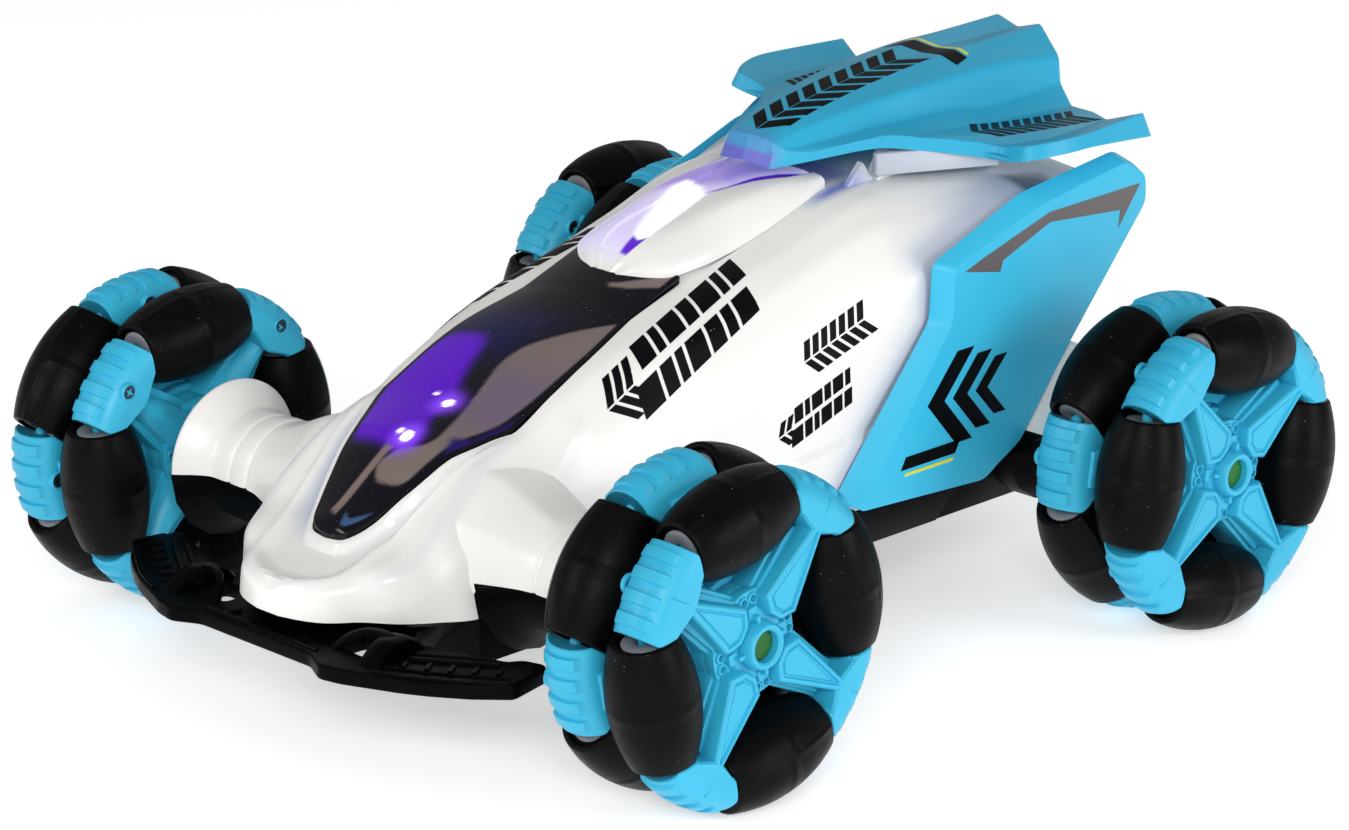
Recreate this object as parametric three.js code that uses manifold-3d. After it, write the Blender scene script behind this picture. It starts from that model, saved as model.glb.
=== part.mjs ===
// Radio controlled stunt car: a chassis tray with four gear motors, a snap-on body shell with
// side panels, windshield, light cover and rear wing, and four double-row roller wheels.
// Millimetres, +Z up, the nose towards -Y, the car's left side at +X.
import * as THREE from 'three';
import { mergeVertices } from 'three/addons/utils/BufferGeometryUtils.js';
import Module from 'manifold-3d';

const wasm = await Module();
wasm.setup();

// ---- Driving dimensions -------------------------------------------------------------------
const GAP = 0.3;                    // clearance kept between pieces that touch

const WHEEL_R = 46;                 // rolling radius of a wheel
const AXLE_Y = 94.5;                // axles sit this far in front of and behind the middle
const WHEEL_X = 106.3;              // middle plane of a wheel, from the car's centre plane
const ROW_X = 11.3;                 // each roller row sits this far from the wheel's middle plane
const ROLLERS_PER_ROW = 4;

const ROLLER_AXIS_R = 33.8;         // roller axis from the hub axis
const ROLLER_HALF = 17.8;           // half length of a roller
const ROLLER_BORE_R = 2.0;
const PIN_R = 1.6;
const LUG_R = 44.6;                 // outer radius of a tread lug
const LUG_HALF_WIDTH = 8.6;
const STAR_FACE = 6.1;              // outer face of a star arm, from its row's middle plane
const HUB_R = 10;
const BOSS_HEIGHT = 1.9;            // hub boss, proud of the star arms
const AXLE_R = 3.8;
const AXLE_BORE_R = 4.3;
const AXLE_PASSAGE_R = 4.5;         // hole an axle turns in, through the motor and the arm
const AXLE_INNER_X = 47;            // where the axle starts inside the gear housing

const ARM_END_X = 80;               // open end of an axle arm
const ARM_WALL = 2;
const ORIGIN_SHIFT_Y = 9.55;        // puts the origin under the middle of the car's length
const SPLIT_Z = WHEEL_R;            // body and chassis meet on the axle line
const BODY_SKIRT_Z = 36.8;          // lower edge of the nose
const BODY_WALL = 2.2;
const FLOOR_Z = 23.5;               // underside of the chassis floor
const FLOOR_THICKNESS = 2.2;

// Angle of the outer row's first star arm, from straight up towards the nose.
const WHEELS = [
  { name: 'front_left', side: 1, y: -AXLE_Y, armAngle: 57.1 },
  { name: 'front_right', side: -1, y: -AXLE_Y, armAngle: 7.0 },
  { name: 'rear_left', side: 1, y: AXLE_Y, armAngle: 36.9 },
  { name: 'rear_right', side: -1, y: AXLE_Y, armAngle: 46.5 },
];

// ---- Materials ----------------------------------------------------------------------------
const material = (color, roughness, metalness = 0) =>
  new THREE.MeshStandardMaterial({ color, roughness, metalness });
const whitePlastic = material(0xf2f1ee, 0.3);
const bluePlastic = material(0x37b0d6, 0.35);
const blackPlastic = material(0x15151a, 0.5);
const rubber = material(0x1b1816, 0.6);
const smokedPlastic = material(0x1c1030, 0.1);
const lilacPlastic = material(0xe6dcff, 0.25);
const steel = material(0xb8bcc0, 0.3, 1);
const greenBoard = material(0x1e6b3c, 0.5);
const orangeWrap = material(0xd8702a, 0.45);

// ---- Solids -------------------------------------------------------------------------------
// Merges a geometry's shared corners and drops the triangles that this collapses.
function welded(geometry) {
  const plain = geometry.clone();
  plain.deleteAttribute('normal');
  plain.deleteAttribute('uv');
  const merged = mergeVertices(plain, 1e-4);
  const index = merged.index.array;
  const kept = [];
  for (let i = 0; i < index.length; i += 3) {
    const [a, b, c] = [index[i], index[i + 1], index[i + 2]];
    if (a !== b && b !== c && c !== a) kept.push(a, b, c);
  }
  merged.setIndex(kept);
  return merged;
}

// Six times the enclosed volume: negative when the faces point inwards.
function signedVolume(geometry) {
  const p = geometry.attributes.position;
  const [a, b, c] = [new THREE.Vector3(), new THREE.Vector3(), new THREE.Vector3()];
  let sum = 0;
  for (let i = 0; i < geometry.index.count; i += 3) {
    a.fromBufferAttribute(p, geometry.index.getX(i));
    b.fromBufferAttribute(p, geometry.index.getX(i + 1));
    c.fromBufferAttribute(p, geometry.index.getX(i + 2));
    sum += a.dot(b.cross(c));
  }
  return sum;
}

function solid(geometry) {
  const mesh = welded(geometry);
  if (signedVolume(mesh) < 0) mesh.setIndex(Array.from(mesh.index.array).reverse());
  return new wasm.Manifold(new wasm.Mesh({
    numProp: 3,
    vertProperties: new Float32Array(mesh.attributes.position.array),
    triVerts: new Uint32Array(mesh.index.array),
  }));
}

function geometryOf(manifold) {
  const mesh = manifold.getMesh();
  const geometry = new THREE.BufferGeometry();
  geometry.setAttribute('position', new THREE.BufferAttribute(mesh.vertProperties, 3));
  geometry.setIndex(new THREE.BufferAttribute(mesh.triVerts, 1));
  geometry.computeVertexNormals();
  return geometry;
}

const joined = (parts) => parts.reduce((all, part) => all.add(part));
const cut = (body, tools) => tools.reduce((rest, tool) => rest.subtract(tool), body);

// ---- Basic shapes -------------------------------------------------------------------------
const shapeOf = (points) => new THREE.Shape(points.map(([x, y]) => new THREE.Vector2(x, y)));

function box(low, high) {
  const size = high.map((value, i) => value - low[i]);
  return new THREE.BoxGeometry(...size)
    .translate((low[0] + high[0]) / 2, (low[1] + high[1]) / 2, (low[2] + high[2]) / 2);
}

// A cylinder along X from one x to another.
function cylinderX(radius, fromX, toX, sides, y = 0, z = 0) {
  return new THREE.CylinderGeometry(radius, radius, toX - fromX, sides)
    .rotateZ(-Math.PI / 2)
    .translate((fromX + toX) / 2, y, z);
}

// A solid turned about the X axis; the profile's points are [x, radius].
function turnedX(profile, sides) {
  const points = profile.map(([x, radius]) => new THREE.Vector2(radius, x));
  return new THREE.LatheGeometry(points, sides).rotateZ(-Math.PI / 2);
}

// A plan outline of [x, y] points raised from one z to another.
function raised(outline, fromZ, toZ) {
  return new THREE.ExtrudeGeometry(shapeOf(outline), { depth: toZ - fromZ, bevelEnabled: false })
    .translate(0, 0, fromZ);
}

// A side outline of [y, z] points pushed out from one x to another.
function pushedX(outline, fromX, toX) {
  return new THREE.ExtrudeGeometry(shapeOf(outline), { depth: toX - fromX, bevelEnabled: false })
    .applyMatrix4(new THREE.Matrix4().makeBasis(
      new THREE.Vector3(0, 1, 0), new THREE.Vector3(0, 0, 1), new THREE.Vector3(1, 0, 0)))
    .translate(fromX, 0, 0);
}

// A closed solid through rings of [x, y, z] points, all with the same number of points.
function loft(rings, flatCap = (p) => [p[0], p[2]]) {
  const count = rings[0].length;
  const index = [];
  for (let r = 0; r + 1 < rings.length; r += 1) {
    for (let i = 0; i < count; i += 1) {
      const next = (i + 1) % count;
      const [a, b] = [r * count + i, r * count + next];
      index.push(a, b, b + count, a, b + count, a + count);
    }
  }
  const addCap = (ring, offset, forward) => {
    const flat = ring.map((p) => new THREE.Vector2(...flatCap(p)));
    const keep = forward === (THREE.ShapeUtils.area(flat) > 0);
    THREE.ShapeUtils.triangulateShape(flat, []).forEach((face) => {
      const corners = face.map((i) => i + offset);
      index.push(...(keep ? corners : corners.reverse()));
    });
  };
  addCap(rings[0], 0, false);
  addCap(rings[rings.length - 1], (rings.length - 1) * count, true);
  const geometry = new THREE.BufferGeometry();
  geometry.setAttribute('position', new THREE.Float32BufferAttribute(rings.flat(2), 3));
  geometry.setIndex(index);
  return geometry;
}

const mirroredX = (points) => points.map(([x, ...rest]) => [-x, ...rest]).reverse();
const bothSides = (half) => [...half, ...mirroredX(half.filter(([x]) => x > 0))];
const sideFlip = (geometry) =>
  new THREE.BufferGeometry().copy(geometry).applyMatrix4(new THREE.Matrix4().makeScale(-1, 1, 1));

// ---- Body ---------------------------------------------------------------------------------
// Half sections of the body from the crown out and down to the lower edge.
const BODY_SECTIONS = [
  { y: -152.3, half: [[0, 43], [1.5, 42.8], [2.6, 42], [3.4, 41], [3.8, 39], [4, BODY_SKIRT_Z]] },
  { y: -150.5, half: [[0, 45], [5, 44.6], [8, 43.6], [9.6, 42], [10.4, 39.5], [10.8, BODY_SKIRT_Z]] },
  { y: -147, half: [[0, 46.8], [8, 46.6], [13, 45.6], [15.6, 43.6], [16.6, 40.2], [17, BODY_SKIRT_Z]] },
  { y: -140, half: [[0, 49.2], [10, 49], [18, 48], [21.5, 45.4], [22.8, 41], [23, BODY_SKIRT_Z]] },
  { y: -133.7, half: [[0, 51.3], [11, 51.5], [23, 51], [28, 48.4], [30.4, 43], [31, BODY_SKIRT_Z]] },
  { y: -126, half: [[0, 55.6], [12, 55.6], [24, 54.6], [30, 52.4], [35, 45.5], [37, BODY_SKIRT_Z]] },
  { y: -116.6, half: [[0, 63.5], [14, 63.2], [25, 62], [31, 60], [38, 50.5], [42.3, BODY_SKIRT_Z]] },
  { y: -103, half: [[0, 74], [18.6, 72.3], [26, 71.3], [31, 68.5], [38.5, 57.5], [42.6, BODY_SKIRT_Z]] },
  { y: -87, half: [[0, 81.5], [25.6, 77], [29, 76], [32.5, 72.5], [39.5, 60], [43, BODY_SKIRT_Z]] },
  { y: -73, half: [[0, 87.5], [25.2, 84.4], [28.5, 83.4], [33, 79.5], [41.5, 62], [45.5, BODY_SKIRT_Z]] },
  { y: -61.5, half: [[0, 92], [24.4, 89.4], [28.5, 88.4], [34, 84], [43.5, 65], [48.5, BODY_SKIRT_Z]] },
  { y: -39.3, half: [[0, 99.5], [20.6, 96.6], [29, 95.6], [36, 90.5], [46, 70], [51.5, BODY_SKIRT_Z]] },
  { y: -19, half: [[0, 105], [20, 102.6], [29, 101], [37.5, 95], [48, 74], [53, BODY_SKIRT_Z]] },
  { y: 9, half: [[0, 111], [20, 109.5], [30, 107.6], [40.5, 100.5], [50, 80], [54, BODY_SKIRT_Z]] },
  { y: 45, half: [[0, 118], [20, 117.6], [30, 116.4], [45, 108.5], [53.5, 96], [54.5, BODY_SKIRT_Z]] },
  { y: 84, half: [[0, 118.5], [20, 118.2], [32, 117.4], [45, 116], [53.5, 112], [54.5, BODY_SKIRT_Z]] },
  { y: 96, half: [[0, 117], [20, 116.7], [32, 116], [45, 114.6], [53.4, 110.5], [54.2, 64]] },
  { y: 108, half: [[0, 115], [20, 114.8], [32, 114], [44, 112.6], [53, 108.6], [53.8, 80]] },
  { y: 127, half: [[0, 111], [20, 110.8], [30, 110], [42, 108.6], [50.6, 105.4], [52, 100]] },
];

const TAIL_FLOOR_Y = 90;

function bodyLoft(inset) {
  return loft(BODY_SECTIONS.map(({ y, half }, i) => {
    const nose = i < 3 ? inset * (1 - i * 0.2) : 0;
    const tail = i === BODY_SECTIONS.length - 1 ? -inset : 0;
    // The hollow runs out through the bottom, except under the tail, which has a floor.
    const drop = (k) => (k < half.length - 1 ? inset : inset * (y > TAIL_FLOOR_Y ? -1 : 3));
    const ring = half.map(([x, z], k) => [Math.max(x - (k ? inset : 0), 0), z - drop(k)]);
    const placed = ring.map(([x, z]) => [x, y + nose + tail, z]);
    return [...placed, ...placed.slice(1).reverse().map(([x, ...rest]) => [-x, ...rest])];
  }));
}

// Radius of an axle arm along its length, outside.
const FRONT_ARM = [
  [36, 23], [43, 23], [46.5, 19.5], [53, 16.2], [72, 15.7], [75, 18.2], [ARM_END_X, 22.6],
];
const REAR_ARM = [
  [36, 23], [59.6, 23], [63.5, 20.5], [69, 16.4], [73, 16.4], [76, 18.6], [ARM_END_X, 22.6],
];
const FRONT_WEB_X = 66;             // inner face of the wall that closes a front arm round the axle
const REAR_WEB_X = 54;
const BELL_X = 69;                  // the open bell at an arm's end starts here

function armSolid(profile, y, side) {
  const closed = [[profile[0][0], 0], ...profile, [ARM_END_X, 0]];
  const geometry = turnedX(closed, 16).translate(0, y, SPLIT_Z);
  return solid(side > 0 ? geometry : sideFlip(geometry));
}

// The hollow of an arm: the open bell outside its web, and the space for the gear motor inside it.
function armHollow(profile, webX, y, side) {
  const inner = profile.map(([x, r]) => [x, r - ARM_WALL]);
  const lip = inner.filter(([x]) => x > BELL_X);
  const bell = [[lip[0][0], 0], ...lip, [ARM_END_X + 1, lip[lip.length - 1][1]], [ARM_END_X + 1, 0]];
  const deep = inner.filter(([x]) => x < webX);
  const throat = [[deep[0][0] - 1, 0], [deep[0][0] - 1, deep[0][1]], ...deep.slice(1),
    [webX, deep[deep.length - 1][1] - 1], [webX, 0]];
  const hole = cylinderX(AXLE_PASSAGE_R, 20, ARM_END_X + 2, 8);
  return joined([turnedX(bell, 16), turnedX(throat, 16), hole].map((geometry) => {
    const placed = geometry.translate(0, y, SPLIT_Z);
    return solid(side > 0 ? placed : sideFlip(placed));
  }));
}

const ARMS = WHEELS.map(({ y, side }) => (y < 0
  ? { y, side, profile: FRONT_ARM, webX: FRONT_WEB_X }
  : { y, side, profile: REAR_ARM, webX: REAR_WEB_X }));
const armSolids = joined(ARMS.map(({ profile, y, side }) => armSolid(profile, y, side)));
const armHollows = joined(ARMS.map(({ profile, webX, y, side }) => armHollow(profile, webX, y, side)));

// ---- Windshield ---------------------------------------------------------------------------
// Half outline in plan and the height of the outline's edge, from the tip to the rear corner.
const WINDSHIELD_EDGE = [
  [0, -131.4, 52.6], [5, -130.8, 54.2], [10.5, -124, 58.2], [13.7, -116.7, 63.6], [16.1, -110.8, 68],
  [18.3, -103.5, 72.4], [25.2, -88, 77.4], [25.1, -73, 84.5], [24.3, -61.5, 89.6],
  [20.4, -39.3, 96.9], [19.8, -19.2, 104.4],
];
const WINDSHIELD_CROWN = 3.2;       // how far the middle rises above the edges
const WINDSHIELD_THICKNESS = 1.8;
const windshieldPlan = bothSides(WINDSHIELD_EDGE.map(([x, y]) => [x, y]));

function windshieldSolid() {
  const rings = WINDSHIELD_EDGE.slice(1).map(([x, y, z]) => {
    const crown = WINDSHIELD_CROWN * Math.min(1, x / 18);
    const across = [1, 0.55, 0, -0.55, -1];
    const top = across.map((t) => [t * x, y, z + crown * (1 - t * t)]);
    const under = across.map((t) => [-t * x, y, z + crown * (1 - t * t) - WINDSHIELD_THICKNESS]);
    return [...top, ...under];
  });
  const [, tipY, tipZ] = WINDSHIELD_EDGE[0];
  const tip = rings[0].map(([x, , z]) => [x * 0.3, tipY, tipZ + (z - rings[0][0][2]) * 0.9]);
  return solid(loft([tip, ...rings])).subtract(lightCoverRoom());
}

function planOffset(outline, distance) {
  const centreY = -75;
  return outline.map(([x, y]) => {
    const length = Math.hypot(x / 22, (y - centreY) / 56);
    return [x + distance * (x / 22) / length, y + distance * ((y - centreY) / 56) / length];
  });
}

// ---- Light cover --------------------------------------------------------------------------
// The raised roof lamp: [y, half width below, height below, half width on top, height on top].
const LIGHT_COVER = [
  [-29, 5, 102.6, 3, 103.2], [-26, 12, 103.6, 6, 107.4], [-20.5, 18.2, 105.2, 8.5, 111.2],
  [-6, 20.5, 107.6, 11, 115.6], [12, 20.5, 110.6, 13, 119.4], [28, 20, 114.4, 13.5, 120.6],
  [40, 18, 118.4, 12.5, 120.8],
];
const LIGHT_COVER_WALL = 1.8;

function lightCoverRing(y, wide, low, narrow, high, inset) {
  const base = inset ? low - 8 : low;
  const half = [[0, high + 0.6 - inset], [narrow - inset, high - inset],
    [(wide + narrow) / 2 + 1 - inset, (low + high) / 2 + 0.8 - inset], [wide - inset, low - inset / 2],
    [wide - inset, base - 1.2]];
  const right = half.map(([x, z]) => [Math.max(x, 0.2), y, z]);
  right[0][0] = 0;
  return [...right, ...right.slice(1).reverse().map(([x, ...rest]) => [-x, ...rest])];
}

function lightCoverSolid() {
  const outer = loft(LIGHT_COVER.map((row) => lightCoverRing(...row, 0)));
  const inner = loft(LIGHT_COVER.map(([y, ...row], i) => {
    const end = i === 0 ? LIGHT_COVER_WALL : i === LIGHT_COVER.length - 1 ? -LIGHT_COVER_WALL : 0;
    return lightCoverRing(y + end, ...row, LIGHT_COVER_WALL);
  }));
  return solid(outer).subtract(solid(inner));
}

// The room the light cover takes in the body, with clearance all round.
const lightCoverRoom = () => solid(loft(LIGHT_COVER.map(([y, wide, low, narrow, high], i) => {
  const end = i === 0 ? -GAP : i === LIGHT_COVER.length - 1 ? GAP : 0;
  return lightCoverRing(y + end, wide + GAP, low, narrow + GAP, high + 9, 0)
    .map(([x, py, z], k) => [x, py, k === 4 || k === 5 ? low - 1.6 : z]);
})));

// ---- Side panels --------------------------------------------------------------------------
const PANEL_OUTER_X = 60;
const PANEL_INNER_X = 55;
const PANEL_FACE = [
  [11, 39], [48, 86], [48, 101], [83, 112], [121, 117.5], [129.5, 112], [130, 104], [94, 64],
  [78, 44], [68, 39], [63, 36],
];
const PANEL_BAND = [
  [5, 42], [43, 86], [44, 102.5], [80, 115.5], [120, 120], [131, 113.5], [131, 103], [94, 63],
  [78.5, 43.4], [68.4, 38.4], [63.2, 35.4],
];
const PANEL_WALL = 2.2;

// Moves an outline's points towards their common centre by a fixed distance.
function drawnIn(outline, distance) {
  const count = outline.length;
  const centre = outline.reduce(([a, b], [y, z]) => [a + y / count, b + z / count], [0, 0]);
  return outline.map(([y, z]) => {
    const [dy, dz] = [y - centre[0], z - centre[1]];
    const length = Math.hypot(dy, dz);
    return [y - distance * dy / length, z - distance * dz / length];
  });
}

function panelBlock(face, band, outerX, innerX) {
  const ring = (outline, x) => outline.map(([y, z]) => [x, y, z]);
  return loft([ring(band, innerX), ring(face, outerX)], (p) => [p[1], p[2]]);
}

function sidePanelSolid() {
  const block = solid(panelBlock(PANEL_FACE, PANEL_BAND, PANEL_OUTER_X, PANEL_INNER_X));
  const hollow = panelBlock(drawnIn(PANEL_FACE, 3.4), drawnIn(PANEL_BAND, 3.4),
    PANEL_OUTER_X - PANEL_WALL, PANEL_INNER_X - 1);
  return block.subtract(solid(hollow));
}

// The room a panel takes, with clearance, used to trim the body and the chassis.
const panelRoom = () => solid(panelBlock(drawnIn(PANEL_FACE, -GAP), drawnIn(PANEL_BAND, -GAP),
  PANEL_OUTER_X + 6, PANEL_INNER_X - GAP));

// ---- Rear wing ----------------------------------------------------------------------------
// Lines from the leading edge to the trailing edge, from the middle outwards: top surface.
const WING_LINES = [
  [[0, 28, 131.6], [0, 42, 135.4], [0, 60, 138.6],
    [0, 84, 141.4], [0, 111, 142.4], [0, 141.5, 142.2]],
  [[6, 28.3, 131.2], [6.5, 42, 135.2], [7, 60, 138.4],
    [7.5, 84, 141.4], [8, 111, 143.6], [8.3, 141.8, 144.6]],
  [[8.6, 29, 130.4], [11, 42, 133.6], [14, 60, 136.6],
    [17, 80, 138.6], [19.2, 111, 139.8], [19.5, 137.4, 137.6]],
  [[11.5, 31, 128.4], [14.5, 44, 129.6], [17.5, 60, 131],
    [19.8, 84, 131.4], [21.2, 108, 129.4], [21.2, 136.4, 130.2]],
  [[15.5, 36, 127.6], [20.5, 47, 129.2], [25.2, 60, 130],
    [29, 82, 128.6], [28.6, 104, 126.8], [28.6, 133, 125.4]],
  [[22, 49, 129.8], [26, 57.5, 130.6], [33, 68, 129.4],
    [39, 85, 128.2], [40.8, 104, 127.4], [40.8, 128, 127]],
  [[24.8, 56, 130.6], [31, 66, 129.6], [39.8, 77, 127.8],
    [46.6, 84.4, 127], [50.5, 100, 126.9], [48.5, 125, 126.8]],
  [[26, 57.6, 130.6], [36.5, 72, 128.6], [46.8, 82.6, 126.8],
    [55, 81.5, 128.6], [61.8, 98, 130], [58.2, 129.3, 129.9]],
];
// Bottom of the rim: across the leading edge from the middle outwards, then back along the tip.
const WING_LEADING_RIM = [[0, 24.8, 124.8], [6, 25.4, 124], [9.7, 26.4, 123.5], [12, 29.6, 124.2],
  [15.2, 34.6, 125], [21.4, 48, 126.7], [24.2, 54, 127.1], [25.6, 56.2, 127.2]];
const WING_TIP_RIM = [[25.6, 56.2, 127.2], [36, 70.5, 124.9], [46.6, 81.1, 122.8], [55.9, 79.8, 124.6],
  [63, 97, 126.2], [59.5, 131.8, 122.8]];
const WING_WALL = 2.4;

function wingSolid() {
  const lines = [...WING_LINES.slice(1).reverse(), ...WING_LINES];
  const middle = WING_LINES.length - 1;
  const rings = WING_LINES[0].map((_, station) => {
    const place = (k, [x, y, z]) => [k < middle ? -x : x, y, z];
    const top = lines.map((line, k) => place(k, line[station]));
    const under = lines.map((line, k) => {
      const outwards = Math.abs(k - middle);
      if (station === 0) return place(k, WING_LEADING_RIM[outwards]);
      if (outwards === middle) return place(k, WING_TIP_RIM[station]);
      const [x, y, z] = line[station];
      const steep = outwards === 2 || outwards === 3 ? 1.6 : 0;
      return place(k, [x - steep, y, z - WING_WALL]);
    }).reverse();
    return [...top, ...under];
  });
  return solid(loft(rings));
}

// ---- Front splitter -----------------------------------------------------------------------
const SPLITTER_Z = 28.3;
const SPLITTER_TOP = 32.6;
const SPLITTER_REAR_Y = -120.6;
const SPLITTER_HALF = [
  [0, -156.8], [21.6, -156.8], [29.4, -160.9], [36, -159.4], [43.9, -156], [51.6, -152.7],
  [58.6, -148.8], [67.1, -142.8], [75.6, -135.1], [78.5, -128], [64, -111], [56, -115],
  [34, -123], [26, -127], [24, SPLITTER_REAR_Y], [0, SPLITTER_REAR_Y],
];
const SPLITTER_SLOT = [[24.5, -150], [33.5, -148.5], [33, -139], [25.5, -140]];

// A raised rail over the splitter, front to back, as a low arch.
function splitterRail(side) {
  const arch = new THREE.CatmullRomCurve3([
    new THREE.Vector3(30 * side, -155.5, SPLITTER_TOP - 0.6), new THREE.Vector3(28.6 * side, -151, 34.4),
    new THREE.Vector3(27.4 * side, -145, 35.6), new THREE.Vector3(26.6 * side, -139.5, 35.2),
    new THREE.Vector3(27 * side, -133, SPLITTER_TOP - 0.6)]);
  const section = shapeOf([[-1.2, -1.6], [1.2, -1.6], [1.2, 1.6], [-1.2, 1.6]]);
  return new THREE.ExtrudeGeometry(section, { steps: 8, extrudePath: arch, bevelEnabled: false });
}

function splitterSolid() {
  const plate = solid(raised(bothSides(SPLITTER_HALF), SPLITTER_Z, SPLITTER_TOP));
  const slots = [1, -1].map((side) =>
    solid(raised(SPLITTER_SLOT.map(([x, y]) => [x * side, y]), SPLITTER_Z - 1, SPLITTER_TOP + 6)));
  const rails = [1, -1].map((side) => solid(splitterRail(side)));
  return joined([cut(plate, slots), ...rails]);
}

// ---- Chassis ------------------------------------------------------------------------------
const CHASSIS_HALF_TOP = [
  [0, -146], [12, -145], [19, -138], [27.5, -131], [34, -122.5], [39.5, -116], [40, -72],
  [50, -56], [54, -20], [55, 10], [55, 60], [46, 72], [40, 78], [40, 116], [34, 124], [0, 126],
];
const CHASSIS_TOP_Z = 36.4;
// The bay is a box standing on the floor, open downwards, with room for two cells side by side.
const BATTERY_BAY = { y: 8, halfX: 14.8, halfY: 27, wall: 1.8, topZ: 38.4 };
const CELL_R = 7.1;
const CELL_LENGTH = 50.5;
const WELL_TOP_Z = SPLIT_Z - 0.15;

const widened = (half, byX, byY) => half.map(([x, y]) => [Math.max(x - byX, 0), y * (1 - byY)]);
const ringAt = (half, z) => bothSides(half).map(([x, y]) => [x, y, z]);
const planCap = (p) => [p[0], p[1]];

function chassisSolid() {
  const hull = loft([ringAt(widened(CHASSIS_HALF_TOP, 5, 0.1), FLOOR_Z),
    ringAt(CHASSIS_HALF_TOP, CHASSIS_TOP_Z)], planCap);
  const wall = FLOOR_THICKNESS;
  const room = loft([ringAt(widened(CHASSIS_HALF_TOP, 7.2, 0.12), FLOOR_Z + wall),
    ringAt(widened(CHASSIS_HALF_TOP, wall, 0.02), CHASSIS_TOP_Z + 1)], planCap);
  const wellHalf = 21.2;
  const wells = [-AXLE_Y, AXLE_Y].map((y) =>
    solid(box([-42, y - wellHalf, FLOOR_Z], [42, y + wellHalf, WELL_TOP_Z])));
  const wellRooms = [-AXLE_Y, AXLE_Y].map((y) => solid(box(
    [wall - 42, y - wellHalf + wall, FLOOR_Z + wall],
    [42 - wall, y + wellHalf - wall, WELL_TOP_Z + 1])));
  const lowerArms = armSolids.subtract(solid(box([-90, -130, WELL_TOP_Z], [90, 130, 80])));
  const bulkhead = solid(pushedX([[113, 40], [116, 40], [124.4, 96.6], [121.4, 93.4]], -34, 34));
  const vents = [0, 1, 2, 3].map((k) =>
    solid(box([-24, 105, 54 + k * 9], [24, 130, 58 + k * 9])));
  const { y, halfX, halfY, wall: bayWall, topZ } = BATTERY_BAY;
  const bay = solid(box([-halfX - bayWall, y - halfY - bayWall, FLOOR_Z],
    [halfX + bayWall, y + halfY + bayWall, topZ + bayWall]));
  const bayRoom = solid(box([-halfX, y - halfY, FLOOR_Z - 1], [halfX, y + halfY, topZ]));
  const noseRoom = solid(box([-43, -160, BODY_SKIRT_Z - GAP], [43, -116, 60]));
  const splitterRoom = solid(box([-50, -170, 20], [50, SPLITTER_REAR_Y + GAP, SPLITTER_TOP + GAP]));
  const tray = cut(joined([solid(hull), ...wells, lowerArms, bulkhead]),
    [solid(room), ...wellRooms, armHollows, noseRoom, splitterRoom, ...vents]);
  return tray.add(bay).subtract(bayRoom);
}

// ---- Wheels -------------------------------------------------------------------------------
// A wheel is built round the X axis with its outside towards +X; the first star arm points up.
function rollerRadius(along) {
  return Math.sqrt(WHEEL_R ** 2 - along ** 2) - ROLLER_AXIS_R;
}

// A barrel roller along Z with a bore through it.
function rollerGeometry() {
  const profile = [-1, -0.5, 0, 0.5, 1].map((t) =>
    new THREE.Vector2(rollerRadius(t * ROLLER_HALF), t * ROLLER_HALF));
  const bore = [ROLLER_HALF, -ROLLER_HALF].map((z) => new THREE.Vector2(ROLLER_BORE_R, z));
  const lathe = new THREE.LatheGeometry([...profile, ...bore, profile[0].clone()], 10)
    .rotateX(Math.PI / 2);
  return geometryOf(solid(lathe));
}

// One half wheel about X, on the +X side of the middle plane: disc, star arms, lugs and pins.
function starSolid() {
  const turn = (geometry, degrees) => geometry.rotateX(THREE.MathUtils.degToRad(degrees));
  const face = ROW_X + STAR_FACE;
  const disc = turnedX([[0.2, 0], [0.2, 22.5], [2.6, 22.5], [2.6, 0]], 12);
  const hub = turnedX([[0.2, 0], [0.2, HUB_R], [face - 1, HUB_R], [face, 8], [face + BOSS_HEIGHT, 6.6],
    [face + BOSS_HEIGHT, 0]], 12);
  // A star arm, ridged along its middle: [distance from the hub axis, half width, back face].
  // Its back clears the other row's rollers.
  const arm = loft([[4, 7.4, 0.3], [12, 7.2, 0.3], [28, 3.9, 1.5], [39, 3.2, 1.5]].map(([r, half, back]) => [
    [back, -half, r], [face - 1.8, -half, r], [face, 0, r], [face - 1.8, half, r], [back, half, r]]),
  (p) => [p[0], p[1]]);
  // The corner between two rollers, as seen along the axle.
  const corner = (ROLLER_HALF + 0.45) * Math.SQRT2;
  const reach = 38.4;
  const lugOutline = [[-3.6, corner + 3.6], [3.6, corner + 3.6], [reach - corner, reach],
    [reach - corner, 50], [corner - reach, 50], [corner - reach, reach]];
  const lug = pushedX(lugOutline, ROW_X - LUG_HALF_WIDTH, ROW_X + LUG_HALF_WIDTH);
  const w = LUG_HALF_WIDTH;
  const tread = turnedX([[-w, 27], [-w, 38.6], [-w * 0.55, LUG_R], [w * 0.55, LUG_R], [w, 38.6],
    [w, 27], [-w, 27]].map(([x, r]) => [x + ROW_X, r]), 16);
  const angles = Array.from({ length: ROLLERS_PER_ROW }, (_, k) => k * 360 / ROLLERS_PER_ROW);
  const lugs = joined(angles.map((a) => solid(turn(lug.clone(), a)))).intersect(solid(tread));
  const arms = angles.map((a) => solid(turn(arm.clone(), a)));
  const pins = angles.map((a) => solid(turn(
    new THREE.CylinderGeometry(PIN_R, PIN_R, 2 * ROLLER_HALF + 6, 6)
      .translate(ROW_X, 0, ROLLER_AXIS_R), a + 45)));
  const bore = solid(cylinderX(AXLE_BORE_R, -1, 30, 12));
  return cut(joined([solid(disc), solid(hub), ...arms, lugs, ...pins]), [bore]);
}

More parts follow.
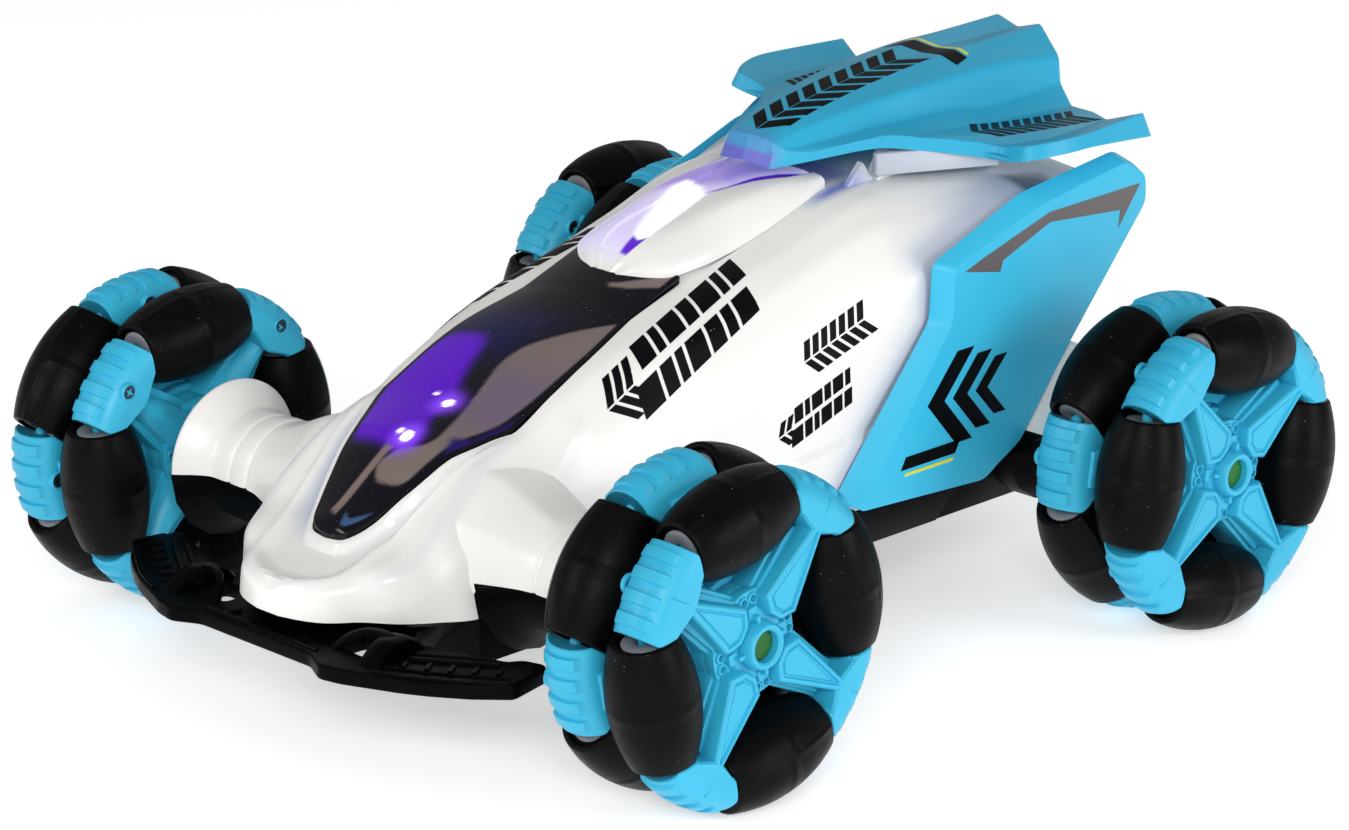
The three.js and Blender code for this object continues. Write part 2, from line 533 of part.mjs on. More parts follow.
const starGeometry = geometryOf(starSolid());
const barrelGeometry = rollerGeometry();
const axleEnd = WHEEL_X + ROW_X + STAR_FACE + BOSS_HEIGHT - 1.6;
const axleGeometry = geometryOf(
  solid(cylinderX(AXLE_R, AXLE_INNER_X - WHEEL_X, axleEnd - WHEEL_X, 10)));

function mesh(name, geometry, surface) {
  const piece = new THREE.Mesh(geometry, surface);
  piece.name = name;
  return piece;
}

// A row of rollers and the star that carries them, on one side of the wheel's middle plane.
function wheelRow(wheelName, row, direction, angle) {
  const rowGroup = new THREE.Group();
  rowGroup.rotation.x = THREE.MathUtils.degToRad(angle);
  const starHolder = new THREE.Group();
  if (direction < 0) starHolder.rotation.z = Math.PI;
  starHolder.add(mesh(`star_${wheelName}_${row}`, starGeometry, bluePlastic));
  rowGroup.add(starHolder);
  for (let k = 0; k < ROLLERS_PER_ROW; k += 1) {
    const holder = new THREE.Group();
    holder.rotation.x = THREE.MathUtils.degToRad(45 + k * 360 / ROLLERS_PER_ROW);
    const roller = mesh(`roller_${wheelName}_${row}_${k + 1}`, barrelGeometry, rubber);
    roller.position.set(ROW_X * direction, 0, ROLLER_AXIS_R);
    roller.rotation.x = Math.PI / 2;
    holder.add(roller);
    rowGroup.add(holder);
  }
  return rowGroup;
}

function wheel({ name, side, y, armAngle }) {
  const group = new THREE.Group();
  group.position.set(WHEEL_X * side, y, WHEEL_R);
  group.add(wheelRow(name, 'outer', side, armAngle));
  group.add(wheelRow(name, 'inner', -side, armAngle + 45));
  const axle = mesh(`axle_${name}`, axleGeometry, steel);
  if (side < 0) axle.rotation.z = Math.PI;
  group.add(axle);
  return group;
}

// ---- Gear motors --------------------------------------------------------------------------
function gearMotor({ name, side, y }) {
  const housing = solid(box([39.2, -12.5, -13.5], [45.5, 12.5, 12.5]));
  const neck = solid(cylinderX(12.6, 45, y < 0 ? FRONT_WEB_X - 4 : REAR_WEB_X - 1, 12));
  const can = solid(cylinderX(10, 10, 39.6, 12, 0, 1));
  const tail = solid(cylinderX(4.5, 7, 10.5, 8, 0, 1));
  const bore = solid(cylinderX(AXLE_PASSAGE_R, AXLE_INNER_X - GAP, 62, 8));
  const motor = cut(joined([housing, neck, can, tail]), [bore]);
  const piece = mesh(`gear_motor_${name}`, geometryOf(motor), blackPlastic);
  piece.position.set(0, y, SPLIT_Z);
  if (side < 0) piece.rotation.z = Math.PI;
  return piece;
}

// ---- Inner parts and the underside --------------------------------------------------------
function circuitBoard() {
  const board = solid(box([-26, -66, 52], [26, 4, 53.6]));
  const chips = [[-14, -50, 14, 12, 3], [6, -40, 16, 10, 4], [-10, -16, 9, 9, 6], [12, -10, 8, 14, 5]]
    .map(([x, y, dx, dy, h]) => solid(box([x, y, 53], [x + dx, y + dy, 53.6 + h])));
  const lamps = [-6, 6].map((x) =>
    solid(new THREE.CylinderGeometry(2.4, 2.4, 12, 12).rotateX(Math.PI / 2).translate(x, -64, 56.4)));
  return joined([board, ...chips, ...lamps]);
}

function batteryPack() {
  const z = FLOOR_Z + CELL_R;
  const cells = [-1, 1].map((side) =>
    solid(new THREE.CylinderGeometry(CELL_R, CELL_R, CELL_LENGTH, 14)
      .translate((CELL_R + 0.1) * side, BATTERY_BAY.y, z)));
  const wrap = solid(box([-CELL_R, BATTERY_BAY.y - 22, z - CELL_R + 0.4],
    [CELL_R, BATTERY_BAY.y + 22, z + CELL_R - 0.4]));
  return joined([...cells, wrap]);
}

const COVER_MARGIN = 5;             // how far the battery cover reaches past its bay
const COVER_THICKNESS = 2.3;

function batteryCover() {
  const { halfX, y, halfY } = BATTERY_BAY;
  const [x, end] = [halfX + COVER_MARGIN, y + halfY + COVER_MARGIN];
  const top = FLOOR_Z - GAP;
  const plate = solid(box([-x, y - halfY - COVER_MARGIN, top - COVER_THICKNESS], [x, end, top]));
  const grips = [0, 1, 2, 3].map((k) => solid(box(
    [-9, end - 12 + k * 2.6, top - COVER_THICKNESS - 0.6], [9, end - 10.8 + k * 2.6, top - 1])));
  return joined([plate, ...grips]);
}

// A slide switch under the floor: its button's stem runs in a slot through the floor.
const SWITCH = { x: 30, y: 40, travel: 4, slotHalfX: 2, slotHalfY: 4.6 };

function powerSwitch() {
  const { x, y, travel, slotHalfX } = SWITCH;
  const front = y - travel / 2;
  const button = solid(box([x - 3.4, front - 3, FLOOR_Z - 2.2], [x + 3.4, front + 3, FLOOR_Z - GAP]));
  const stem = solid(box([x - slotHalfX + GAP, front - 2, FLOOR_Z - 1],
    [x + slotHalfX - GAP, front + 2, FLOOR_Z + 3]));
  const rib = solid(box([x - 2.8, front - 0.5, FLOOR_Z - 3], [x + 2.8, front + 0.5, FLOOR_Z - 2]));
  return joined([button, stem, rib]);
}

const switchSlot = () => solid(box(
  [SWITCH.x - SWITCH.slotHalfX, SWITCH.y - SWITCH.slotHalfY, FLOOR_Z - 1],
  [SWITCH.x + SWITCH.slotHalfX, SWITCH.y + SWITCH.slotHalfY, FLOOR_Z + FLOOR_THICKNESS + 1]));

// ---- Body shell assembly ------------------------------------------------------------------
function wingSupports() {
  return [1, -1].map((side) => {
    const profile = [[52, 114], [60, 126.9], [82, 126.1], [104, 124.3], [110, 112], [100, 108]];
    const block = pushedX(profile, 20, 27);
    return solid(side > 0 ? block : sideFlip(block));
  });
}

function bodyShellSolid() {
  const outer = joined([solid(bodyLoft(0)), armSolids, ...wingSupports()]);
  const windowCut = solid(raised(planOffset(windshieldPlan, 0.5), 44, 130));
  const armReach = FRONT_ARM[0][1] + GAP;
  const belowSplit = [-AXLE_Y, AXLE_Y].map((y) =>
    solid(box([-100, Math.max(y - armReach, -116.3), 0], [100, y + armReach, SPLIT_Z + 0.15])));
  const belowArms = [1, -1].map((side) =>
    solid(box([71.3 * side - 28.7, -130, 0], [71.3 * side + 28.7, -116, SPLIT_Z + 0.15])));
  const belowSkirt = solid(box([-100, -160, 0], [100, -116, BODY_SKIRT_Z]));
  const rooms = [lightCoverRoom(), panelRoom(), panelRoom().mirror([1, 0, 0])];
  return cut(outer, [solid(bodyLoft(BODY_WALL)), armHollows, windowCut, ...belowSplit, ...belowArms,
    belowSkirt, ...rooms]);
}

// ---- The car ------------------------------------------------------------------------------
const car = new THREE.Group();
car.position.y = ORIGIN_SHIFT_Y;
const sidePanel = sidePanelSolid();
const panelClear = panelRoom();
const chassis = cut(chassisSolid(), [panelClear, panelClear.mirror([1, 0, 0]), switchSlot()]);

car.add(
  mesh('chassis_tray', geometryOf(chassis), blackPlastic),
  mesh('battery_pack', geometryOf(batteryPack()), orangeWrap),
  mesh('battery_cover', geometryOf(batteryCover()), blackPlastic),
  mesh('power_switch', geometryOf(powerSwitch()), blackPlastic),
  mesh('circuit_board', geometryOf(circuitBoard()), greenBoard),
  mesh('front_splitter', geometryOf(splitterSolid()), blackPlastic),
  mesh('body_shell', geometryOf(bodyShellSolid()), whitePlastic),
  mesh('windshield', geometryOf(windshieldSolid()), smokedPlastic),
  mesh('light_cover', geometryOf(lightCoverSolid()), lilacPlastic),
  mesh('side_panel_left', geometryOf(sidePanel), bluePlastic),
  mesh('side_panel_right', geometryOf(sidePanel.mirror([1, 0, 0])), bluePlastic),
  mesh('rear_wing', geometryOf(wingSolid()), bluePlastic),
  ...WHEELS.map(gearMotor),
  ...WHEELS.map(wheel),
);

export default car;
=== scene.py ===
"""Looks of the radio controlled stunt car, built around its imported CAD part."""
import math
from contextlib import contextmanager

import bmesh
import bpy
import numpy as np
from mathutils import Matrix, Vector
from mathutils.bvhtree import BVHTree


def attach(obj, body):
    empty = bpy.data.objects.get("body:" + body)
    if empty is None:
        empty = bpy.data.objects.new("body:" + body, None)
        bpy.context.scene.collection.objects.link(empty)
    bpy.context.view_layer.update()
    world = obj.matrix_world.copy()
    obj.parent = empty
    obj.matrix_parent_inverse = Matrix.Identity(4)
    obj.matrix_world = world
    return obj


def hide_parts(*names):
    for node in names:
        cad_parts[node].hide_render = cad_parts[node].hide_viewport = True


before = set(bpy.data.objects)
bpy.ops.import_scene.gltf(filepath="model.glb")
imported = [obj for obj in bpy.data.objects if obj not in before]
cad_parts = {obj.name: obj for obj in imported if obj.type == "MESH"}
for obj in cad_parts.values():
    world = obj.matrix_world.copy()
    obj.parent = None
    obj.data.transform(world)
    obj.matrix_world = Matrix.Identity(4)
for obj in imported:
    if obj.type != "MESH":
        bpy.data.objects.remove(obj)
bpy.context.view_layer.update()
scene = bpy.context.scene

# Shapes are written in millimetres about the middle of the wheelbase, as in the CAD source.
MM = 0.001
WELD = 1e-5
SHIFT_Y = 9.55
TO_FRAME = Matrix.Scale(MM, 4) @ Matrix.Translation((0, SHIFT_Y, 0))
MIRROR_X = Matrix.Scale(-1, 4, Vector((1, 0, 0)))

WHEEL_R, AXLE_Y, WHEEL_X, ROW_X = 46.0, 94.5, 106.3, 11.3
AXLE_Z = WHEEL_R
ROLLER_AXIS_R, ROLLER_HALF = 33.8, 17.8
# Name: side, place along the car, and angle of the outer row's first star arm.
WHEELS = {
    "front_left": (1, -AXLE_Y, 57.1), "front_right": (-1, -AXLE_Y, 7.0),
    "rear_left": (1, AXLE_Y, 36.9), "rear_right": (-1, AXLE_Y, 46.5),
}


# ---- Mesh tools ---------------------------------------------------------------------------
@contextmanager
def editing(mesh):
    """The mesh as a bmesh, written back to the mesh afterwards."""
    bm = bmesh.new()
    bm.from_mesh(mesh)
    yield bm
    bm.to_mesh(mesh)
    bm.free()


def mesh_of(points, faces):
    """A mesh with outward normals, from points in millimetres."""
    mesh = bpy.data.meshes.new("part")
    mesh.from_pydata([tuple(map(float, p)) for p in points], [], [list(map(int, f)) for f in faces])
    with editing(mesh) as bm:
        bmesh.ops.remove_doubles(bm, verts=bm.verts, dist=WELD)
        bmesh.ops.dissolve_degenerate(bm, edges=bm.edges, dist=WELD)
        bmesh.ops.recalc_face_normals(bm, faces=bm.faces)
    return mesh


def grid_faces(rows, cols, wrap=False):
    """Quads of a grid of points, row by row; wrap joins the last column to the first."""
    r, c = np.meshgrid(np.arange(rows - 1), np.arange(cols if wrap else cols - 1), indexing="ij")
    n = (c + 1) % cols
    quads = np.stack([r * cols + c, r * cols + n, (r + 1) * cols + n, (r + 1) * cols + c], -1)
    return quads.reshape(-1, 4).tolist()


def lofted(rings):
    """A closed solid through rings of points."""
    rings = np.asarray(rings, float)
    rows, cols = rings.shape[:2]
    ends = [list(range(cols)), list(range((rows - 1) * cols, rows * cols))]
    return mesh_of(rings.reshape(-1, 3), grid_faces(rows, cols, wrap=True) + ends)


def moved(mesh, *matrices):
    """A copy of a mesh, carried by each matrix in turn."""
    made = mesh.copy()
    for matrix in matrices:
        made.transform(matrix)
        if matrix.determinant() < 0:
            made.flip_normals()
    return made


def gathered(meshes):
    """One mesh that holds all of these."""
    bm = bmesh.new()
    for mesh in meshes:
        bm.from_mesh(mesh)
    made = bpy.data.meshes.new("part")
    bm.to_mesh(made)
    bm.free()
    return made


def surface_of(mesh):
    """The mesh's surface, for casting rays at it."""
    bm = bmesh.new()
    bm.from_mesh(mesh)
    tree = BVHTree.FromBMesh(bm)
    bm.free()
    return tree


def evaluated(shape, add_modifiers=None):
    """The mesh of a curve or mesh, after the modifiers that add_modifiers puts on its object."""
    holder = bpy.data.objects.new("work", shape)
    scene.collection.objects.link(holder)
    helpers = (add_modifiers(holder) if add_modifiers else None) or []
    bpy.context.view_layer.update()
    made = bpy.data.meshes.new_from_object(
        holder.evaluated_get(bpy.context.evaluated_depsgraph_get()))
    for o in [holder, *helpers]:
        bpy.data.objects.remove(o)
    return made


def boolean(mesh, tools, operation="DIFFERENCE"):
    def add(holder):
        helpers = []
        for tool in tools:
            helper = bpy.data.objects.new("tool", tool)
            scene.collection.objects.link(helper)
            cut = holder.modifiers.new("cut", "BOOLEAN")
            cut.operation, cut.object, cut.solver = operation, helper, "MANIFOLD"
            helpers.append(helper)
        return helpers
    return evaluated(mesh, add)


def bevelled(mesh, width, segments=2, angle=40):
    def add(holder):
        bevel = holder.modifiers.new("bevel", "BEVEL")
        bevel.width, bevel.segments = width, segments
        bevel.limit_method, bevel.angle_limit = "ANGLE", math.radians(angle)
        bevel.miter_outer = "MITER_ARC"
    return evaluated(mesh, add)


def piece(name, mesh, material, body, replaces=(), matrix=TO_FRAME, sharp=32):
    """A finished piece: millimetre mesh, material, the body it rides on and what it stands for."""
    mesh = moved(mesh, matrix)
    mesh.name = name
    if material:
        mesh.materials.clear()
        mesh.materials.append(material)
    mesh.shade_smooth()
    mesh.set_sharp_from_angle(angle=math.radians(sharp))
    made = bpy.data.objects.new(name, mesh)
    scene.collection.objects.link(made)
    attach(made, body)
    if replaces:
        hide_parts(*replaces)


def with_materials(meshes, materials):
    """One mesh of several, each with its own material."""
    whole = gathered(meshes)
    for material in materials:
        whole.materials.append(material)
    whole.polygons.foreach_set("material_index", np.repeat(range(len(meshes)),
                                                           [len(m.polygons) for m in meshes]))
    return whole


# ---- Curves -------------------------------------------------------------------------------
def pchip(x, y, at):
    """Shape-keeping cubic through the points (x, y), each column of y on its own."""
    x, y, at = np.asarray(x, float), np.asarray(y, float), np.asarray(at, float)
    h = np.diff(x)[:, None]
    d = np.diff(y, axis=0) / h
    slope = np.zeros_like(y)
    w1, w2 = 2 * h[1:] + h[:-1], 2 * h[:-1] + h[1:]
    same = d[:-1] * d[1:] > 1e-12
    a, b = np.where(same, d[:-1], 1), np.where(same, d[1:], 1)
    slope[1:-1] = np.where(same, (w1 + w2) / (w1 / a + w2 / b), 0)
    slope[0], slope[-1] = d[0], d[-1]
    i = np.clip(np.searchsorted(x, at, side="right") - 1, 0, len(x) - 2)
    hi = h[i]
    t = (at - x[i])[:, None] / hi
    return ((2 * t**3 - 3 * t**2 + 1) * y[i] + (t**3 - 2 * t**2 + t) * hi * slope[i]
            + (3 * t**2 - 2 * t**3) * y[i + 1] + (t**3 - t**2) * hi * slope[i + 1])


def both_halves(half):
    """The right half's points with their mirror images before them."""
    return np.concatenate([half[:0:-1] * ([-1] + [1] * (half.shape[1] - 1)), half])


def to_right(points):
    """The points with those on the left carried over to the right."""
    return np.concatenate([np.abs(points[:, :1]), points[:, 1:]], axis=1)


def lengths(points):
    """Distance along a line of points, from 0 to 1."""
    steps = np.linalg.norm(np.diff(np.asarray(points, float), axis=0), axis=1)
    along = np.concatenate([[0], np.cumsum(steps)])
    return along / along[-1]


def smooth_line(points, count):
    """Evenly spread points along a smooth line through the given ones."""
    return pchip(lengths(points), points, np.linspace(0, 1, count))


def ease(t):
    t = np.clip(t, 0, 1)
    return t * t * (3 - 2 * t)


def line_distance(points, line):
    """Distance of each point from a line of points, and how far along it the nearest place is."""
    points, line = np.asarray(points, float), np.asarray(line, float)
    best, where = np.full(len(points), 1e9), np.zeros(len(points))
    starts = lengths(line)
    for k in range(len(line) - 1):
        step = line[k + 1] - line[k]
        t = np.clip(((points - line[k]) @ step) / (step @ step), 0, 1)
        d = np.linalg.norm(points - line[k] - t[:, None] * step, axis=1)
        nearer = d < best
        best[nearer] = d[nearer]
        where[nearer] = (starts[k] + t * (starts[k + 1] - starts[k]))[nearer]
    return best, where


def inside(points, outline):
    """Whether each 2D point lies inside the outline."""
    points, outline = np.asarray(points, float), np.asarray(outline, float)
    x, y = points[:, 0], points[:, 1]
    result = np.zeros(len(points), bool)
    for (x1, y1), (x2, y2) in zip(outline, np.roll(outline, -1, axis=0)):
        crosses = (y1 > y) != (y2 > y)
        with np.errstate(divide="ignore", invalid="ignore"):
            result ^= crosses & (x < (x2 - x1) * (y - y1) / (y2 - y1) + x1)
    return result


# ---- Basic solids -------------------------------------------------------------------------
def circle(radius, sides, centre=(0, 0)):
    a = np.arange(sides) * 2 * math.pi / sides
    return np.stack([centre[0] + radius * np.cos(a), centre[1] + radius * np.sin(a)], -1)


def plate(outlines, low, high, bevel=0.3, segments=2):
    """A flat plate with rounded edges; the first outline is its edge and the others are holes."""
    curve = bpy.data.curves.new("plate", "CURVE")
    curve.dimensions, curve.fill_mode = "2D", "BOTH"
    for outline in outlines:
        spline = curve.splines.new("POLY")
        spline.points.add(len(outline) - 1)
        for point, (x, y) in zip(spline.points, outline):
            point.co = (x, y, 0, 1)
        spline.use_cyclic_u = True
    curve.extrude = (high - low) / 2 - bevel
    curve.bevel_depth, curve.bevel_resolution, curve.offset = bevel, segments, -bevel
    mesh = evaluated(curve)
    with editing(mesh) as bm:
        bmesh.ops.remove_doubles(bm, verts=bm.verts, dist=10 * WELD)
        bmesh.ops.recalc_face_normals(bm, faces=bm.faces)
    mesh.transform(Matrix.Translation((0, 0, (low + high) / 2)))
    return mesh


def prism(outline, low, high, bevel=0.3, segments=2):
    """A solid block over an outline, with all its edges rounded."""
    n = len(outline)
    points = [(x, y, z) for z in (low, high) for x, y in outline]
    faces = [list(range(n)), list(range(n, 2 * n))]
    faces += [[i, (i + 1) % n, (i + 1) % n + n, i + n] for i in range(n)]
    mesh = mesh_of(points, faces)
    if bevel:
        with editing(mesh) as bm:
            bmesh.ops.bevel(bm, geom=bm.edges[:], offset=bevel, segments=segments, profile=0.5,
                            affect="EDGES", clamp_overlap=True)
    return mesh


def block(low, high, bevel=0.3):
    (x0, y0, z0), (x1, y1, z1) = low, high
    return prism([(x0, y0), (x1, y0), (x1, y1), (x0, y1)], z0, z1, bevel)


def around(profile, sides):
    """Points of a closed turned surface about Z, from (radius, z) pairs."""
    angles = np.arange(sides) * 2 * math.pi / sides
    return [(r * math.cos(a), r * math.sin(a), z) for r, z in profile for a in angles]


def turned(profile, sides, closed=True):
    """A solid turned about X from (x, radius) points, which close on themselves or end in discs."""
    points = [(x, y, z) for y, z, x in around([(r, x) for x, r in profile], sides)]
    rows = len(profile)
    faces = grid_faces(rows, sides, wrap=True)
    if closed:
        last = (rows - 1) * sides
        faces += [[last + c, last + (c + 1) % sides, (c + 1) % sides, c] for c in range(sides)]
    else:
        faces += [list(range(sides)), list(range((rows - 1) * sides, rows * sides))]
    return mesh_of(points, faces)


# Maps a plate's plane to Y and Z, and its height to X.
UPRIGHT = Matrix(((0, 0, 1, 0), (1, 0, 0, 0), (0, 1, 0, 0), (0, 0, 0, 1)))


def upright_plate(*settings):
    return moved(plate(*settings), UPRIGHT)


def upright_prism(*settings):
    return moved(prism(*settings), UPRIGHT)


def on_both_sides(mesh):
    return [mesh, moved(mesh, MIRROR_X)]


def turning(outline):
    """1 for an outline that runs anticlockwise, and -1 for one that runs the other way."""
    (x, y), (next_x, next_y) = outline.T, np.roll(outline, -1, 0).T
    return 1 if np.sum(x * next_y - next_x * y) > 0 else -1


def inset(outline, distance):
    """A convex outline with every edge moved inwards."""
    outline = np.asarray(outline, float)
    way = turning(outline)
    made = []
    for before, here, after in zip(np.roll(outline, 1, 0), outline, np.roll(outline, -1, 0)):
        d1, d2 = here - before, after - here
        n1 = way * np.array([-d1[1], d1[0]]) / np.linalg.norm(d1)
        n2 = way * np.array([-d2[1], d2[0]]) / np.linalg.norm(d2)
        made.append(here + distance * (n1 + n2) / (1 + n1 @ n2))
    return np.array(made)


def outline_offset(outline, distance):
    """A closed outline moved outwards along its normals."""
    outline = np.asarray(outline, float)
    step = np.roll(outline, -1, 0) - np.roll(outline, 1, 0)
    normal = np.stack([step[:, 1], -step[:, 0]], -1) / np.linalg.norm(step, axis=1, keepdims=True)
    return outline + distance * normal * turning(outline)


# ---- Materials ----------------------------------------------------------------------------
class Nodes:
    """A material being put together node by node."""

    def __init__(self, name):
        self.material = bpy.data.materials.new(name)
        self.material.use_nodes = True
        self.tree = self.material.node_tree
        self.shader = self.tree.nodes["Principled BSDF"]
        self.place = self.add("ShaderNodeTexCoord").outputs["Object"]

    def add(self, kind, inputs=(), **settings):
        node = self.tree.nodes.new(kind)
        for key, value in settings.items():
            setattr(node, key, value)
        for key, value in dict(inputs).items():
            self.join(value, node.inputs[key])
        return node

    def join(self, value, socket):
        if isinstance(value, bpy.types.NodeSocket):
            self.tree.links.new(value, socket)
        else:
            socket.default_value = value

    def noise(self, scale, detail=3.0, rough=0.5, stretch=None):
        where = self.place
        if stretch:
            where = self.add("ShaderNodeMapping", {"Vector": where, "Scale": stretch}).outputs[0]
        return self.add("ShaderNodeTexNoise", {"Vector": where, "Scale": scale, "Detail": detail,
                                               "Roughness": rough}).outputs["Fac"]

    def span(self, value, low, high, out_low=0.0, out_high=1.0):
        return self.add("ShaderNodeMapRange", {"Value": value, "From Min": low, "From Max": high,
                                               "To Min": out_low, "To Max": out_high}).outputs[0]

    def mix(self, factor, a, b):
        node = self.add("ShaderNodeMix", {"Factor": factor, 6: a, 7: b}, data_type="RGBA")
        return node.outputs[2]

    def attribute(self, name):
        return self.add("ShaderNodeAttribute", attribute_name=name).outputs

    def tinted(self, base):
        """The base colour under the colour painted on the mesh."""
        tint = self.attribute("tint")
        return self.mix(tint["Alpha"], base, tint["Color"])

    def bump(self, *heights):
        """Adds bump from pairs of (height, distance in metres)."""
        normal = None
        for height, distance in heights:
            node = self.add("ShaderNodeBump", {"Height": height, "Distance": distance})
            if normal is not None:
                self.tree.links.new(normal, node.inputs["Normal"])
            normal = node.outputs["Normal"]
        self.tree.links.new(normal, self.shader.inputs["Normal"])

    def set(self, **values):
        for key, value in values.items():
            self.join(value, self.shader.inputs[key.replace("_", " ")])


def rgb(red, green, blue):
    """A colour from its 0-255 screen values."""
    return (*[((c / 255 + 0.055) / 1.055) ** 2.4 if c > 10 else c / 255 / 12.92
              for c in (red, green, blue)], 1.0)


def moulded(name, colour, roughness, shade=0.9, grain=0.00002, grain_scale=2500, dirt=None,
            painted=False, coat=0.0, gloss=0.5):
    """Injection moulded plastic: slight flow marks, fine grain, specks of dust, and painted tints
    that hold painted light and shade.
    """
    n = Nodes(name)
    darker = (*[c * shade for c in colour[:3]], 1)
    base = n.mix(n.span(n.noise(18, 2.0), 0.35, 0.65), darker, colour)
    if dirt is not None:
        base = n.mix(n.span(n.noise(1400, 1.0), 0.79, 0.82), base, dirt)
    if painted:
        base = n.tinted(base)
    n.set(Base_Color=base, Coat_Weight=coat, Specular_IOR_Level=gloss,
          Roughness=n.span(n.noise(60, 4.0), 0.3, 0.7, roughness * 0.85, roughness * 1.2))
    n.bump((n.noise(grain_scale, 2.0), grain), (n.noise(35, 2.0), grain * 3))
    return n.material


WHITE, BLUE = rgb(238, 237, 234), rgb(52, 176, 213)
white_plastic = moulded("white_gloss_plastic", WHITE, 0.32, 0.985, 0.00001,
                        dirt=rgb(170, 170, 170), painted=True, coat=0.12, gloss=0.4)
blue_plastic = moulded("blue_satin_plastic", BLUE, 0.4, 0.94, 0.00001, painted=True, gloss=0.3)
wheel_plastic = moulded("blue_wheel_plastic", BLUE, 0.4, 0.9, 0.000015, gloss=0.32)
black_plastic = moulded("black_grained_plastic", rgb(5, 5, 7), 0.38, 0.75, 0.00006, 1600,
                        dirt=rgb(58, 54, 52), gloss=0.035)
motor_casing = moulded("dark_motor_casing", rgb(38, 38, 42), 0.5, 0.8, 0.00004)
ink = moulded("black_printed_ink", rgb(8, 8, 11), 0.42, 0.85, 0.00001, gloss=0.08)
grey_ink = moulded("grey_printed_ink", rgb(96, 88, 89), 0.4, 0.9, 0.00001)
yellow_ink = moulded("yellow_printed_ink", rgb(226, 222, 74), 0.4, 0.95, 0.00001)
core_plastic = moulded("grey_roller_core", rgb(122, 126, 132), 0.35, 0.85)
shaft_green = moulded("green_shaft_end", rgb(8, 108, 16), 0.4, 0.5)


def rubber_material():
    """Satin rubber with pale specks and a moulding seam."""
    n = Nodes("satin_black_rubber")
    base = n.mix(n.span(n.noise(45, 5.0, 0.6), 0.3, 0.7), rgb(2, 2, 3), rgb(9, 7, 7))
    base = n.mix(n.span(n.noise(1300, 0.0), 0.86, 0.88), base, rgb(90, 84, 80))
    n.set(Base_Color=base, Roughness=n.span(n.noise(120, 4.0), 0.3, 0.7, 0.34, 0.48),
          Specular_IOR_Level=0.08)
    n.bump((n.noise(1800, 3.0), 0.00005), (n.noise(90, 3.0), 0.00012),
           (n.attribute("seam")["Fac"], 0.0003))
    return n.material


def streaked(name, scale, stretch, dark, light, smooth, rough, relief, metallic=0.0):
    """Two shades in streaks of stretched noise, which also drive the roughness and the bump."""
    n = Nodes(name)
    streaks = n.noise(scale, 3.0, stretch=stretch)
    n.set(Base_Color=n.mix(streaks, dark, light), Metallic=metallic,
          Roughness=n.span(streaks, 0.3, 0.7, smooth, rough))
    n.bump((streaks, relief))
    return n.material


def screw_material():
    n = Nodes("blackened_screw")
    n.set(Base_Color=n.mix(n.noise(700, 3.0), rgb(34, 50, 58), rgb(70, 92, 104)), Metallic=0.8,
          Roughness=n.span(n.noise(500), 0.3, 0.7, 0.3, 0.5))
    n.bump((n.noise(1500, 2.0), 0.00002))
    return n.material


def board_material():
    n = Nodes("green_circuit_lacquer")
    tracks = n.add("ShaderNodeTexVoronoi", {"Vector": n.place, "Scale": 260.0},
                   feature="DISTANCE_TO_EDGE", distance="MANHATTAN").outputs["Distance"]
    copper = n.span(tracks, 0.05, 0.09)
    n.set(Base_Color=n.mix(copper, rgb(60, 140, 80), rgb(14, 74, 34)), Roughness=0.35)
    n.bump((copper, 0.00008))
    return n.material


def windshield_material():
    """Smoked glossy plastic; the painted colours hold the lamps' glow, what shows behind it, and
    painted reflections and a painted glint.
    """
    n = Nodes("smoked_windshield_plastic")
    dust = n.span(n.noise(1500, 1.0), 0.75, 0.78)
    n.set(Base_Color=n.mix(dust, n.tinted(rgb(7, 6, 16)), rgb(120, 110, 130)),
          Roughness=n.span(n.noise(80, 3.0), 0.3, 0.7, 0.05, 0.12), Specular_IOR_Level=0.24,
          Emission_Color=n.attribute("glow")["Color"], Emission_Strength=1.0)
    n.bump((n.noise(30, 2.0), 0.00004))
    return n.material


def lamp_material():
    """Milky cover lit from inside."""
    n = Nodes("milky_lamp_cover")
    n.set(Base_Color=n.tinted(WHITE), Roughness=n.span(n.noise(70, 3.0), 0.3, 0.7, 0.2, 0.32),
          Emission_Color=n.attribute("glow")["Color"], Emission_Strength=1.0, Coat_Weight=0.4)
    n.bump((n.noise(2200, 2.0), 0.00001), (n.noise(40, 2.0), 0.00004))
    return n.material


steel = streaked("turned_steel", 900, (1, 0.02, 0.02), rgb(150, 154, 158), rgb(200, 203, 207),
                 0.22, 0.4, 0.00001, metallic=1.0)
shrink_wrap = streaked("orange_shrink_wrap", 160, (1, 0.25, 1), rgb(196, 92, 30),
                       rgb(228, 128, 58), 0.2, 0.4, 0.0002)
rubber, screw_steel, board_lacquer = rubber_material(), screw_material(), board_material()
smoked_plastic, lamp_plastic = windshield_material(), lamp_material()


def paint(mesh, name, colours):
    """Stores a colour per point, with its strength in the fourth channel."""
    layer = mesh.attributes.new(name, "FLOAT_COLOR", "POINT")
    layer.data.foreach_set("color", np.asarray(colours, np.float32).ravel())


def points_of(mesh):
    co = np.zeros(len(mesh.vertices) * 3, np.float32)
    mesh.vertices.foreach_get("co", co)
    return co.reshape(-1, 3).astype(float)


